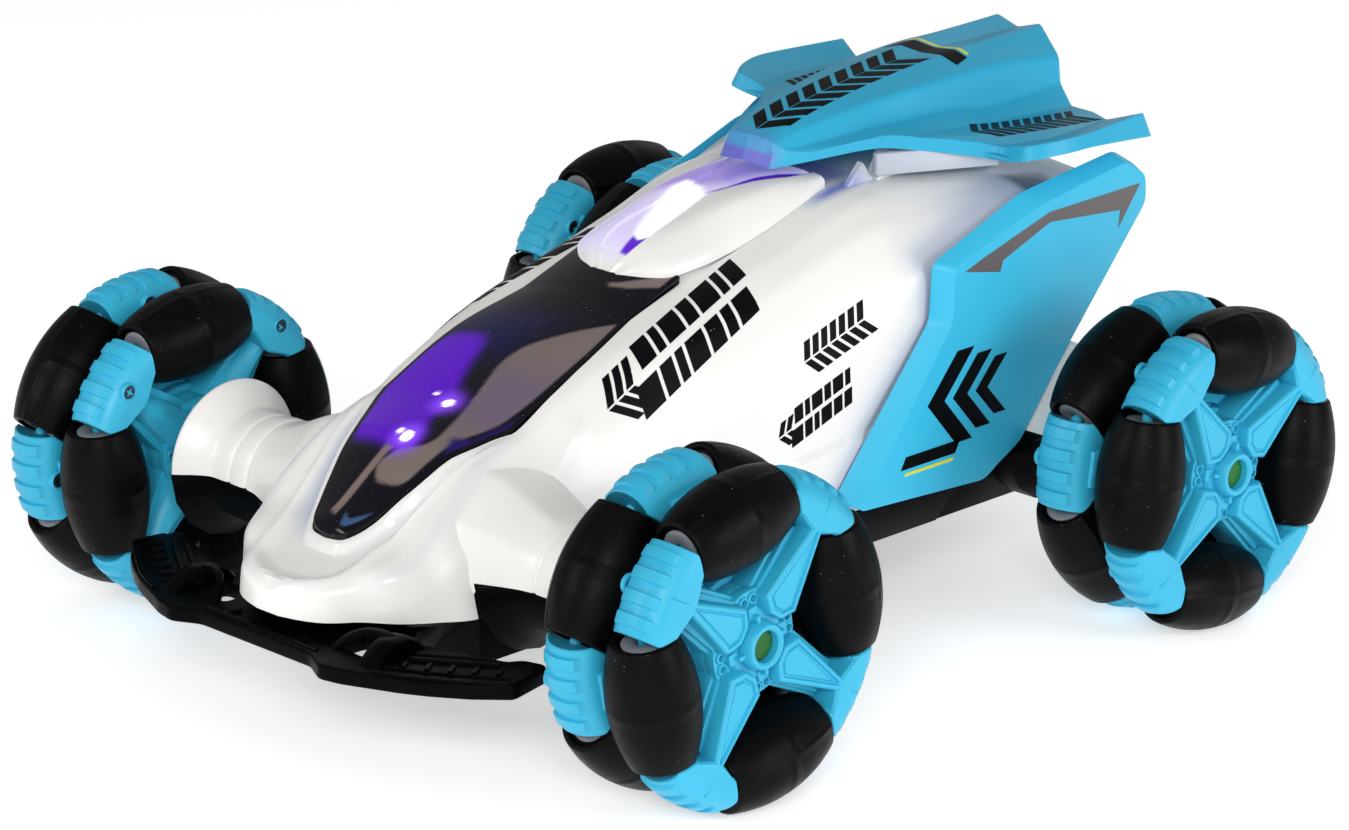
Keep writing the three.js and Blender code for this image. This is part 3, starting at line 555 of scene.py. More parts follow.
class Paint:
    """Colours laid over one another on a mesh's points, and the light that they give off."""

    def __init__(self, mesh, ground):
        self.points = points_of(mesh)
        self.colour, self.glow = np.zeros((len(self.points), 4)), np.zeros((len(self.points), 4))
        self.colour[:, :3] = rgb(*ground)[:3]
        self.within = 1.0

    def lay(self, mask, colour, light=0.0):
        shade = np.array(rgb(*colour)[:3])
        mask = (mask * self.within)[:, None]
        self.colour[:, :3] = self.colour[:, :3] * (1 - mask) + shade * mask
        self.colour[:, 3:] = self.colour[:, 3:] + (1 - self.colour[:, 3:]) * mask
        self.glow[:, :3] = self.glow[:, :3] * (1 - mask) + shade * light * mask


# ---- Wheels -------------------------------------------------------------------------------
# A star is built round X with its face towards +X and its first arm up; a piece of an arm is
# drawn in the plane of the wheel as (across the arm, out from the hub).
CORNER = (ROLLER_HALF + 0.45) * math.sqrt(2)       # where the ends of two rollers meet
LUG_R, LUG_HALF_WIDTH, LUG_HALF_SPAN = 44.6, 8.6, 12.6
ARM_X, FACE_X, LUG_SHOULDER_R = 12.0, 17.4, 37.0   # the arms' own level, their pads' face
# Places along the inner star's ridged arm: (distance out, half width, height).
RIDGE_STATIONS = ((8, 6.6, 5.2), (14, 6.2, 5.0), (24, 4.6, 4.2), (34, 3.2, 4.6), (37.4, 2.4, 5.4))
QUARTER_TURN = Matrix.Rotation(math.pi / 2, 4, "Z")
HOLE_R, HOLE_OUT, HOLE_ASIDE = 0.95, 12.2, 1.65     # the hub's holes, in pairs between the arms
PIN_R, PIN_HALF, ROLLER_SIDES, ROLLER_CUT = 1.55, 21, 48, 0.975
AXLE_R, AXLE_START = 3.8, 47                         # the axle starts this far from the middle
RIB_PLACES, RIB_HALF, RIB_RISE = (-9.0, -3.1, 3.1, 9.0), 1.5, 0.85


def lug():
    """A tread lug: a D-shaped block between two roller ends, with ribs across its tread."""
    t = np.linspace(-1, 1, 41)
    turn = np.sign(t) * (1 - (1 - np.abs(t)) ** 1.6) * math.pi / 2
    crown_x = LUG_HALF_WIDTH * np.sin(turn)
    crown_r = LUG_SHOULDER_R + (LUG_R - LUG_SHOULDER_R) * np.abs(np.cos(turn)) ** 0.85
    side = [(-LUG_HALF_WIDTH + 0.8, 33.6), (-LUG_HALF_WIDTH, 34.4), (-LUG_HALF_WIDTH, 35.6)]
    loop = side + list(zip(crown_x, crown_r)) + [(-x, r) for x, r in side[::-1]]
    spans = {-1, -0.985, 0.985, 1, *np.linspace(-0.93, 0.93, 22)}
    for place in RIB_PLACES:
        spans |= {(place + way * (RIB_HALF + d)) / LUG_HALF_SPAN
                  for way in (-1, 1) for d in (-0.01, 0.3)}
    rings = []
    for span in sorted(spans):
        ring = []
        for x, rho in loop:
            rho += (3.2 * span**2 - 2.2) * (rho < 36)
            reach = (-2 * CORNER + math.sqrt(max(4 * CORNER**2 - 8 * (CORNER**2 - rho**2), 0))) / 4
            across = min(max(reach, 2.6), LUG_HALF_SPAN) * span
            on_rib = min(abs(across - p) for p in RIB_PLACES) < RIB_HALF
            height = rho + RIB_RISE * (on_rib and abs(x) < 5.6 and rho > 40)
            edge = 0.35 if abs(span) == 1 else 0.0
            ring.append((x * (1 - edge / LUG_HALF_WIDTH), across,
                         math.sqrt(max(height**2 - across**2, 0)) - edge))
        rings.append(ring)
    return moved(lofted(rings), Matrix.Translation((ROW_X, 0, 0)))


def kite(outline, low, high):
    """A raised arm pad: a rounded rim, a groove inside it and a raised middle."""
    steps = [(0, low), (0, high - 0.9), (0.35, high - 0.25), (0.8, high), (1.5, high),
             (1.8, high - 0.75), (2.25, high - 0.75), (2.55, high - 0.2), (2.9, high - 0.1)]
    rings = [[(x, y, level + 2.2 * ease((y - 24) / 12)) for x, y in inset(outline, d)]
             for d, level in steps]
    return moved(lofted(rings), UPRIGHT)


def cross_screw():
    """A cross-head screw in its ring boss, about X, its head towards +X."""
    ring = turned([(-1.2, 2.7), (0.1, 2.7), (0.45, 2.4), (0.45, 2.15), (0.1, 1.95),
                   (-1.2, 1.95)], 28)
    w, r = 0.28, 1.15
    cross = [(w, w), (w, r), (-w, r), (-w, w), (-r, w), (-r, -w), (-w, -w), (-w, -r), (w, -r),
             (w, -w), (r, -w), (r, w)]
    head = upright_plate([circle(1.85, 28), cross], -0.5, 0.3, 0.15, 1)
    floor = upright_plate([circle(1.7, 28)], -1.0, -0.35, 0.05, 1)
    return ring, gathered([head, floor])


def quarter(k, start=0):
    """The turn about X from the first arm to arm k, or to start degrees past it."""
    return Matrix.Rotation(math.radians(start + 90 * k), 4, "X")


def facing(direction):
    """Turns a part that faces +X to face the given side."""
    return Matrix.Rotation(math.pi if direction < 0 else 0, 4, "Z")


def star(kind):
    """The outer star shows pointed pads and hub holes; the inner one ridged arms and screws."""
    bore, hub_edge = circle(4.3, 36), circle(14.6, 60)
    holes = []
    for a in np.radians([45, 135, 225, 315]):
        for side in (-HOLE_ASIDE, HOLE_ASIDE):
            holes.append(circle(HOLE_R, 16, (HOLE_OUT * math.cos(a) - side * math.sin(a),
                                             HOLE_OUT * math.sin(a) + side * math.cos(a))))
    boss = [(6, 9.6), (14.6, 9.6), (15.4, 8.8), (15.4, 6.7), (18.4, 6.4), (19.2, 5.8), (19.2, 4.8),
            (18.7, 4.3), (6, 4.3)]
    parts = [upright_plate([circle(22.5, 72), bore], 0.2, 2.8),
             upright_plate([circle(21.2, 72), circle(17.2, 60)], 2.5, 4.6, 0.4),
             upright_plate([circle(16.2, 60), bore], 2.5, 6.2, 0.4), turned(boss, 48),
             upright_plate([hub_edge, bore], 5.8, 10.8, 0.3),
             upright_plate([hub_edge, circle(9.0, 48), *holes], 10.6, 14.2, 0.35)]
    half_flange = [(8.4, 9), (7.6, 16), (5.6, 29), (5.2, 38.6)]
    flange = [(-x, y) for x, y in half_flange] + half_flange[::-1]
    arm_parts = [lug(), upright_prism(flange, 1.6, 12.6, 0.5)]
    if kind == "outer":
        pad = [(2.3, 7.9), (6.5, 11.4), (0, 41.0), (-6.5, 11.4), (-2.3, 7.9)]
        step = [(-7.2, 11), (-4.2, 31), (4.2, 31), (7.2, 11)]
        arm_parts += [kite(pad, ARM_X, FACE_X + 0.6), upright_prism(step, ARM_X, 14.2, 0.5)]
        screw_at = Matrix.Translation((2.3, 0, 39.4)) @ Matrix.Rotation(math.pi, 4, "Z")
    else:
        ridge = [[(ARM_X, -w, r), (ARM_X + h * 0.55, -w * 0.8, r), (ARM_X + h, -0.9, r),
                  (ARM_X + h, 0.9, r), (ARM_X + h * 0.55, w * 0.8, r), (ARM_X, w, r)]
                 for r, w, h in RIDGE_STATIONS]
        # Struts on the side that faces the other row: a rib along the arm and a bar across it.
        struts = [[(-w, low), (w, low), (w, high), (-w, high)]
                  for w, low, high in ((0.9, 22, 37), (4.4, 33.4, 35.2))]
        arm_parts += [lofted(ridge), *[upright_prism(strut, 1.4, 3.2, 0.25) for strut in struts]]
        screw_at = Matrix.Translation((19.6, 0, 39.4))
    ring, head = cross_screw()
    arm_parts.append(moved(ring, screw_at))
    between = [upright_prism([(-1.8, 7.4), (1.8, 7.4), (1.6, 10.6), (-1.6, 10.6)], 13, 15.9, 0.3)]
    hole_rim = turned([(13.6, 1.6), (14.7, 1.6), (14.9, 1.4), (14.9, 1.05), (13.6, 1.0)], 20)
    between += [moved(hole_rim, Matrix.Translation((0, y, HOLE_OUT)))
                for y in (-HOLE_ASIDE, HOLE_ASIDE)]
    between.append(upright_prism([(-0.5, 4.5), (0.5, 4.5), (0.6, 8.6), (-0.6, 8.6)], 14, 17.6, 0.2))
    pin = turned([(-PIN_HALF, PIN_R), (PIN_HALF, PIN_R)], 16, closed=False)
    between.append(moved(pin, QUARTER_TURN, Matrix.Translation((ROW_X, 0, ROLLER_AXIS_R))))
    for k in range(4):
        parts += [moved(m, quarter(k)) for m in arm_parts]
        parts += [moved(m, quarter(k, 45)) for m in between]
    screws = [moved(head, screw_at, quarter(k)) for k in range(4)]
    return with_materials([gathered(parts), gathered(screws)], [wheel_plastic, screw_steel])


def roller_mesh():
    """A barrel roller about Z: rubber over a grey core whose ends show in the recessed ends."""
    sides = ROLLER_SIDES
    zs = ROLLER_HALF * np.sin(np.linspace(-1, 1, 25) * math.pi / 2) * ROLLER_CUT
    radii = np.sqrt(WHEEL_R**2 - zs * zs) - ROLLER_AXIS_R
    end = radii[-1]
    lip = [(end - 0.35, 17.65), (end - 0.9, ROLLER_HALF), (end - 1.6, 17.6), (end - 2.0, 16.6)]
    profile = [(r, -z) for r, z in lip[::-1]] + list(zip(radii, zs)) + lip
    half_core = [(2.0, 16.6), (2.6, 17.1), (5.5, 17.1), (5.9, 16.8), (5.9, 16.4)]
    core = [(r, -z) for r, z in half_core[::-1]] + half_core
    base = len(profile) * sides
    rubber_faces = grid_faces(len(profile), sides, wrap=True)
    core_faces = [[base + i for i in f] for f in grid_faces(len(core), sides, wrap=True)]
    # The recess floors close the rubber against the core.
    for rim, core_rim in ((0, base), (base - sides, base + (len(core) - 1) * sides)):
        rubber_faces += [[rim + c, rim + (c + 1) % sides, core_rim + (c + 1) % sides, core_rim + c]
                         for c in range(sides)]
    mesh = bpy.data.meshes.new("roller")
    mesh.from_pydata(around(profile + core, sides), [], rubber_faces + core_faces)
    for material in (rubber, core_plastic):
        mesh.materials.append(material)
    mesh.polygons.foreach_set("material_index", [0] * len(rubber_faces) + [1] * len(core_faces))
    with editing(mesh) as bm:
        bmesh.ops.recalc_face_normals(bm, faces=bm.faces)
    x, y, z = points_of(mesh).T
    on_seam = (np.abs(z) < 0.01) | (np.abs(y) < 0.01) & (np.hypot(x, y) > end - 0.1)
    seam = mesh.attributes.new("seam", "FLOAT", "POINT")
    seam.data.foreach_set("value", on_seam.astype(np.float32))
    return mesh


def axle_mesh():
    """An axle about X: a steel rod with chamfered ends and a green end in the hub."""
    start, end = AXLE_START - WHEEL_X, 17.0
    rod = [(start, AXLE_R - 0.6), (start + 0.6, AXLE_R),
           (end - 1.0, AXLE_R), (end - 0.5, AXLE_R - 0.4)]
    cap = [(end - 1.2, 4.1), (end - 0.3, 4.1), (end, 3.7), (end - 0.1, 0.3)]
    return with_materials([turned(profile, 40, closed=False) for profile in (rod, cap)],
                          [steel, shaft_green])


stars = {"outer": star("outer"), "inner": star("inner")}
roller, axle = roller_mesh(), axle_mesh()
for wheel, (side, y, arm_angle) in WHEELS.items():
    centre = Matrix.Translation((side * WHEEL_X, y, AXLE_Z))
    body = f"wheel_{wheel}"
    for row, direction, angle in (("outer", side, arm_angle), ("inner", -side, arm_angle + 45)):
        turn = centre @ Matrix.Rotation(math.radians(angle), 4, "X")
        piece(f"look_star_{wheel}_{row}", moved(stars[row], turn @ facing(direction)), None, body,
              [f"star_{wheel}_{row}"])
        for k in range(4):
            own = math.radians(37 * k + 61 * (row == "inner") + 23 * (side + 1) + y)
            pin = Matrix.Translation((ROW_X * direction, 0, ROLLER_AXIS_R))
            place = turn @ quarter(k, 45) @ pin @ quarter(1) @ Matrix.Rotation(own, 4, "Z")
            name = f"roller_{wheel}_{row}_{k + 1}"
            piece(f"look_{name}", moved(roller, place), None, name, [name], sharp=50)
    piece(f"look_axle_{wheel}", moved(axle, centre @ facing(side)), None, body,
          [f"axle_{wheel}"])


# ---- Body shell ---------------------------------------------------------------------------
# Half sections from the crown out and down to the lower edge: (y, six points of x and z).
SKIRT_Z, BODY_WALL, HOOD_DEPTH, SPLIT_Z = 36.8, 2.2, 2.0, 46.15
TROUGH_MIN_Z = 43
BODY_SECTIONS = [
    (-152.3, [(0, 43), (1.5, 42.8), (2.6, 42), (3.4, 41), (3.8, 39), (4, SKIRT_Z)]),
    (-150.5, [(0, 45), (5, 44.6), (8, 43.6), (9.6, 42), (10.4, 39.5), (10.8, SKIRT_Z)]),
    (-147, [(0, 46.8), (8, 46.6), (13, 45.6), (15.6, 43.6), (16.6, 40.2), (17, SKIRT_Z)]),
    (-140, [(0, 49.2), (10, 49), (18, 48), (21.5, 45.4), (22.8, 41), (23, SKIRT_Z)]),
    (-133.7, [(0, 51.3), (11, 51.5), (23, 51), (28, 48.4), (30.4, 43), (31, SKIRT_Z)]),
    (-126, [(0, 55.6), (12, 55.6), (24, 54.6), (30, 52.4), (35, 45.5), (37, SKIRT_Z)]),
    (-116.6, [(0, 63.5), (14, 63.2), (25, 62), (31, 60), (38, 50.5), (42.3, SKIRT_Z)]),
    (-103, [(0, 74), (18.6, 72.3), (26, 71.3), (31, 68.5), (38.5, 57.5), (42.6, SKIRT_Z)]),
    (-87, [(0, 81.5), (25.6, 77), (29, 76), (32.5, 72.5), (39.5, 60), (43, SKIRT_Z)]),
    (-73, [(0, 87.5), (25.2, 84.4), (28.5, 83.4), (33, 79.5), (41.5, 62), (45.5, SKIRT_Z)]),
    (-61.5, [(0, 92), (24.4, 89.4), (28.5, 88.4), (34, 84), (43.5, 65), (48.5, SKIRT_Z)]),
    (-39.3, [(0, 99.5), (20.6, 96.6), (29, 95.6), (36, 90.5), (46, 70), (51.5, SKIRT_Z)]),
    (-19, [(0, 105), (20, 102.6), (29, 101), (37.5, 95), (48, 74), (53, SKIRT_Z)]),
    (9, [(0, 111), (20, 109.5), (30, 107.6), (40.5, 100.5), (50, 80), (54, SKIRT_Z)]),
    (45, [(0, 118), (20, 117.6), (30, 116.4), (45, 108.5), (53.5, 96), (54.5, SKIRT_Z)]),
    (84, [(0, 118.5), (20, 118.2), (32, 117.4), (45, 116), (53.5, 112), (54.5, SKIRT_Z)]),
    (96, [(0, 117), (20, 116.7), (32, 116), (45, 114.6), (53.4, 110.5), (54.2, 64)]),
    (108, [(0, 115), (20, 114.8), (32, 114), (44, 112.6), (53, 108.6), (53.8, 80)]),
    (127, [(0, 111), (20, 110.8), (30, 110), (42, 108.6), (50.6, 105.4), (52, 100)]),
]


def body_rings(step, across, shrink=0.0):
    """Rings of the body every step millimetres, each from the left edge over to the right."""
    ys = np.array([y for y, _ in BODY_SECTIONS], float)
    halves = np.array([half for _, half in BODY_SECTIONS], float)
    count = int((ys[-1] - ys[0]) / step) + 1
    at = ys[0] + (ys[-1] - ys[0]) * np.linspace(0, 1, count)
    tracks = pchip(ys, halves.reshape(len(ys), -1), at).reshape(count, 6, 2)
    marks = np.mean([lengths(half) for half in halves], axis=0)
    marks = np.concatenate([-marks[:0:-1], marks])
    spread = np.linspace(-1, 1, across)
    rings = []
    for y, half in zip(at, tracks):
        x = np.maximum(half[:, 0] - shrink * (np.arange(6) > 0), 0)
        z = half[:, 1] - shrink
        curve = pchip(marks, both_halves(np.stack([x, z], -1)), spread)
        rings.append([(px, y, pz) for px, pz in curve])
    return np.array(rings)


# The body's creases and edges, right half: the ridge round the windshield and its neighbours.
RIDGE = [
    (0, -149.6), (5.6, -148.8), (11.6, -146.2), (15.8, -141.6), (18.6, -130), (20.6, -118),
    (23.4, -104), (26.6, -88.6),
]
HOOD_CREASE = [
    (26.4, -86, 78), (28.2, -103, 71), (30.6, -120, 58.6), (30.6, -128, 53), (27.5, -136, 49.5),
    (21.5, -142, 47),
]
SHOULDER_CREASE = [(33, -66, 84), (35.5, -40, 91), (38, -10, 98), (39, 20, 106), (40, 50, 112)]
ARM_CREASE = [(32.5, -70, 81), (37.5, -86, 66), (38.6, -100, 58), (36, -114, 52), (31.5, -124, 47)]
NOSE_CREASE = [
    (0, -151, 44.4), (8, -149, 44.6), (15, -144.5, 44.6), (20.5, -138, 44.8), (27, -131, 45),
]
SIDE_LEDGE = [(51, -12, 54), (52.5, 2, 56.4), (53.5, 20, 58.4)]
RIDGE_LINE = smooth_line(RIDGE, 60)


def closed_half(half):
    """The whole outline of which half is given."""
    right = [(x, y) for x, y in half]
    return right + [(-x, y) for x, y in right[::-1] if x > 0]


def along_crease(points, line, end):
    """Distance from a crease line, and 1 along it, falling to 0 over its two ends."""
    d, t = line_distance(points, smooth_line(line, 50))
    return d, ease(np.minimum(t, 1 - t) / end)


def sculpt(rings):
    """Presses the body's creases into its points, along the surface's normals."""
    normal = np.cross(np.gradient(rings, axis=1), np.gradient(rings, axis=0))
    normal /= np.linalg.norm(normal, axis=2, keepdims=True) + 1e-12
    normal = normal.reshape(-1, 3)
    p = rings.reshape(-1, 3).copy()
    if normal[np.argmax(p[:, 2])][2] < 0:
        normal = -normal
    half = to_right(p)
    y, z = p[:, 1], p[:, 2]
    # A trough between the ridge and the lip round the windshield.
    from_ridge, _ = line_distance(half[:, :2], RIDGE_LINE)
    to_glass, _ = line_distance(half[:, :2], GLASS_HALF[:, :2])
    top = z > TROUGH_MIN_Z
    trough = top & inside(p[:, :2], closed_half(RIDGE_LINE)) & (y < -84)
    fade = ease((-86 - y) / 12)
    ramp = 2.2 + 2.6 * ease((-122 - y) / 8)
    sink = np.where(trough, 2.0 * ease(from_ridge / ramp) * ease((to_glass - 1.4) / 2.6) * fade, 0)
    sink -= 0.5 * ease(1 - from_ridge / 2.4) * fade * top
    for line, width, depth in ((HOOD_CREASE, 7.0, -1.1), (SHOULDER_CREASE, 6.0, -0.7),
                               (ARM_CREASE, 6.0, -1.0), (NOSE_CREASE, 5.0, -0.6)):
        d, strength = along_crease(half, line, 0.12)
        sink += depth * np.clip(1 - d / width, 0, 1) ** 1.4 * strength
    # The side steps out below the ledge line.
    ledge = smooth_line(SIDE_LEDGE, 30)
    level = np.interp(y, ledge[:, 1], ledge[:, 2])
    below = ease((level - z) / 1.2 + 0.5) * (half[:, 0] > 46) * (y > -14) * (y < 30)
    sink -= 1.3 * below * ease((y + 14) / 10) * ease((z - 38) / 8)
    return (p - sink[:, None] * normal).reshape(rings.shape)


FRONT_ARM = [
    (28, 25.5), (34, 24.4), (38, 22.8), (42, 20.9), (46, 19), (50, 17.3), (53, 16.3), (56, 16.0),
    (56.4, 15.4), (57.2, 15.4), (57.6, 16.0), (63, 15.8), (63.4, 15.3), (64.2, 15.3), (64.6, 15.8),
    (70, 15.7), (72, 16.1), (75, 18.2), (79.2, 22.3), (80, 22.3),
]
REAR_ARM = [
    (36, 23), (59.6, 23), (63.5, 20.5), (69, 16.4), (73, 16.4), (76, 18.6), (79.2, 22.3),
    (80, 22.3),
]
ARM_WALL, ARM_REACH = 2.0, 23.3
ROOM = 0.35      # clearance round the parts that are set into the shell


def softened(profile, rounds=2):
    """Rounds off a profile's corners."""
    line = np.asarray(profile, float)
    for _ in range(rounds):
        made = [line[0]]
        for a, b in zip(line[:-1], line[1:]):
            made += [a * 0.75 + b * 0.25, a * 0.25 + b * 0.75]
        line = np.array(made + [line[-1]])
    return line


def arm(profile, y, side, hollow):
    """An axle arm, or with hollow the room inside its cup."""
    line = softened(profile)
    if hollow:
        line = np.array([(x, r - ARM_WALL) for x, r in line if x > 70])
        far_end = [(82, line[-1][1] + 1.5), (82, 0.3)]
    else:
        far_end = [(80, 0.3)]
    mesh = turned([(line[0][0], 0.3), *line, *far_end], 72, closed=False)
    if not hollow:
        # Soft facets run along the arm and die out before the cup.
        co = points_of(mesh)
        angle = np.arctan2(co[:, 2], co[:, 1]) + 0.25
        step = 2 * math.pi / 9
        flat = 0.985 / np.cos((angle % step) - step / 2)
        co[:, 1:] *= (1 + 0.6 * (1 - ease((co[:, 0] - 50) / 8)) * (flat - 1))[:, None]
        mesh.vertices.foreach_set("co", co.ravel())
    mesh = moved(mesh, Matrix.Translation((0, y, AXLE_Z)))
    return mesh if side > 0 else moved(mesh, MIRROR_X)


ARMS = [(FRONT_ARM if y < 0 else REAR_ARM, y, side) for side, y, _ in WHEELS.values()]
WINDSHIELD_EDGE = [
    (0, -131.4, 52.6), (5, -130.8, 54.2), (10.5, -124, 58.2), (13.7, -116.7, 63.6),
    (16.1, -110.8, 68), (18.3, -103.5, 72.4), (25.2, -88, 77.4), (25.1, -73, 84.5),
    (24.3, -61.5, 89.6), (20.4, -39.3, 96.9), (19.8, -19.2, 104.4),
]
LIGHT_COVER = [
    (-29, 5, 102.6, 3, 103.2), (-26, 12, 103.6, 6, 107.4), (-20.5, 18.2, 105.2, 8.5, 111.2),
    (-6, 20.5, 107.6, 11, 115.6), (12, 20.5, 110.6, 13, 119.4), (28, 20, 114.4, 13.5, 120.6),
    (40, 18, 118.4, 12.5, 120.8),
]
PANEL_FACE = [
    (11, 39), (48, 86), (48, 101), (83, 112), (121, 117.5), (129.5, 112), (130, 104), (94, 64),
    (78, 44), (68, 39), (63, 36),
]
PANEL_BAND = [
    (5, 42), (43, 86), (44, 102.5), (80, 115.5), (120, 120), (131, 113.5), (131, 103), (94, 63),
    (78.5, 43.4), (68.4, 38.4), (63.2, 35.4),
]
PANEL_OUTER_X, PANEL_INNER_X = 60.0, 55.0


def windshield_half():
    """The windshield's half outline: smooth along its sides, with its two corners kept."""
    edge = WINDSHIELD_EDGE
    return np.concatenate([smooth_line(edge[:6], 26), smooth_line(edge[5:7], 5)[1:],
                           smooth_line(edge[6:10], 34)[1:], smooth_line(edge[9:], 12)[1:]])


GLASS_HALF = windshield_half()


def cover_rings(count, across, grow=0.0, floor=1.2):
    """Rings of the light cover: low edge, shoulder and top on each side, down to its floor."""
    rows = np.array(LIGHT_COVER, float)
    at = rows[0, 0] + (rows[-1, 0] - rows[0, 0]) * np.linspace(0, 1, count) ** 1.25
    rings = []
    for y, (wide, low, narrow, high) in zip(at, pchip(rows[:, 0], rows[:, 1:], at)):
        wide, narrow = wide + grow, narrow + grow
        half = np.array([(0, high + 0.6 + grow), (narrow * 0.75, high + 0.45 + grow),
                         (narrow, high + grow),
                         ((wide + narrow) / 2 + 1, (low + high) / 2 + 0.8 + grow),
                         (wide - 0.2, low + 1.0), (wide, low), (wide, low - floor)])
        rings.append([(x, y, z) for x, z in smooth_line(both_halves(half), across)])
    return np.array(rings)


def wing_supports():
    """Posts under the wing, the slanted rails beside them and two small fins behind the lamp."""
    post = upright_prism([(53, 114), (60.4, 126.4), (82, 125.6), (103.6, 123.9), (109.4, 112),
                          (100, 108)], 19, 24, 0.6)
    rail = prism([(23, 54), (25.8, 52.8), (42.2, 86), (39.4, 87.4)], 119.6, 126, 0.5)
    fin = upright_prism([(41.5, 114.5), (50.5, 123.6), (56.5, 116)], 20.4, 22.6, 0.4)
    return [m for mesh in (post, rail, fin) for m in on_both_sides(mesh)]


def body_shell():
    """The shell with its arms and wing posts, hollowed, with room for what is set into it."""
    body = lofted(sculpt(body_rings(1.25, 151)))
    outer = boolean(body, [arm(*a, False) for a in ARMS] + wing_supports(), "UNION")
    # The inside reaches below the lower edge, except behind the rear arms.
    inner_rings = body_rings(6, 61, BODY_WALL + HOOD_DEPTH)
    inner_rings[:, [0, -1], 2] -= 8
    inner_rings[0, :, 1] += BODY_WALL
    inner_rings[-1, :, 1] -= BODY_WALL
    tail = inner_rings[:, :, 1] > 90
    inner_rings[:, [0, -1], 2] += np.where(tail[:, [0, -1]], 8 + 2 * (BODY_WALL + HOOD_DEPTH), 0)
    glass = closed_half(GLASS_HALF[:, :2])
    tools = [lofted(inner_rings), *[arm(*a, True) for a in ARMS],
             prism(outline_offset(glass, ROOM), 40, 130, 0),
             block((-100, -116.3, 0), (100, -AXLE_Y + ARM_REACH, SPLIT_Z), 0),
             block((-100, AXLE_Y - ARM_REACH, 0), (100, AXLE_Y + ARM_REACH, SPLIT_Z), 0),
             block((42.6, -130, 0), (100, -116, SPLIT_Z), 0),
             block((-100, -130, 0), (-42.6, -116, SPLIT_Z), 0),
             lofted(cover_rings(40, 31, grow=ROOM, floor=2.2))]
    panel_room = upright_prism(outline_offset(PANEL_BAND, ROOM), 54.7, 70, 0)
    bore = turned([(20, 4.5), (82, 4.5)], 24, closed=False)
    for mirror in ([], [MIRROR_X]):
        tools.append(moved(panel_room, *mirror))
        tools += [moved(bore, Matrix.Translation((0, y, AXLE_Z)), *mirror)
                  for y in (-AXLE_Y, AXLE_Y)]
    return boolean(outer, tools)


PANEL_FRONT = [(4, 40), (5, 42), (43, 86), (44, 102.5), (80, 115.5), (125, 119)]


def body_light_and_shade(mesh):
    """Painted light and shade on the white shell: blue and violet light thrown next to the side
    panels, wing and lamp, and shade beside and under them.
    """
    paint_on = Paint(mesh, (150, 170, 208))
    lay, p = paint_on.lay, paint_on.points
    x, y, z = p.T
    side = np.abs(x)
    d, _ = line_distance(p[:, 1:], np.array(PANEL_FRONT, float))
    # Painted shade with bluish reflected light along the side panels' front edges.
    lay(ease(1 - d / 11) * ease((side - 36) / 8) * 0.32, (150, 156, 174))
    lay(ease(1 - d / 5) * ease((side - 36) / 8) * 0.42, (100, 112, 150))
    # Painted blue-grey shade on the white top under the wing.
    lay(ease((y - 44) / 26) * ease((z - 103) / 10) * 0.22, (128, 160, 196))
    # Painted blue-violet shadow on the shell between the lamp cover and the wing.
    shadow_beside_lamp = (ease(1 - np.abs(side - 21) / 5) * ease((y - 24) / 14) * ease((60 - y) / 14)
                   * ease((z - 108) / 6) * (1 - ease((z - 118.3) / 0.8)))
    lay(shadow_beside_lamp * 0.9, (92, 108, 204))
    # Painted violet light and shade on the shell behind the lamp, under the wing.
    violet_glow_behind_lamp = (ease((y - 36) / 6) * ease((62 - y) / 12) * ease((20 - side) / 8)
                   * ease((z - 110) / 4))
    lay(violet_glow_behind_lamp * 0.8, (84, 70, 190))
    # Painted shade: the rails stand in the wing's shadow, and the gap beside the panel's top is
    # painted dark where it lies in shade.
    rail = (z > 119 + 3 * ease((y - 66) / 10)) & (side > 21.5) & (y > 50) & (y < 88)
    lay(rail * (0.12 + 0.5 * ease((71 - y) / 3)), (100, 112, 138))
    gap = ease((side - 40) / 3) * ease((y - 84) / 5) * ease((108 - y) / 6) * ease((z - 104) / 3)
    lay(gap * 0.8, (12, 22, 36))
    # Painted shade in the trough, soft grey, deepest at the foot of the ridge and on the far side.
    plan = to_right(p[:, :2])
    from_ridge, _ = line_distance(plan, RIDGE_LINE)
    to_glass, _ = line_distance(plan, GLASS_HALF[:, :2])
    within = inside(plan, closed_half(RIDGE_LINE)) & (z > TROUGH_MIN_Z)
    shade = (within * ease(from_ridge / 3) * ease((to_glass - 0.8) / 2)
             * (1 - 0.7 * ease(to_glass / 11)) * ease((-86 - y) / 14) * ease((y + 137) / 14))
    lay(shade * (0.18 + 0.55 * ease(-x / 6)), (132, 146, 166))
    # The hood's and the nose's creases carry a thin line of shade.
    for line, width in ((HOOD_CREASE, 4), (NOSE_CREASE, 3)):
        near, strength = along_crease(to_right(p), line, 0.15)
        lay(ease(1 - near / width) * strength * 0.2, (190, 192, 196))
    paint(mesh, "tint", paint_on.colour)


shell = body_shell()
body_light_and_shade(shell)
piece("look_body_shell", shell, white_plastic, "chassis", ["body_shell"], sharp=28)


def rounded(outline, radius, steps=4):
    """A closed outline with its corners rounded."""
    outline = np.asarray(outline, float)
    made = []
    for before, here, after in zip(np.roll(outline, 1, 0), outline, np.roll(outline, -1, 0)):
        a, b = before - here, after - here
        cut = min(radius, np.linalg.norm(a) * 0.45, np.linalg.norm(b) * 0.45)
        a, b = here + a / np.linalg.norm(a) * cut, here + b / np.linalg.norm(b) * cut
        made += [a * (1 - t) ** 2 + here * 2 * t * (1 - t) + b * t ** 2
                 for t in np.linspace(0, 1, steps)]
    return [tuple(p) for p in made]


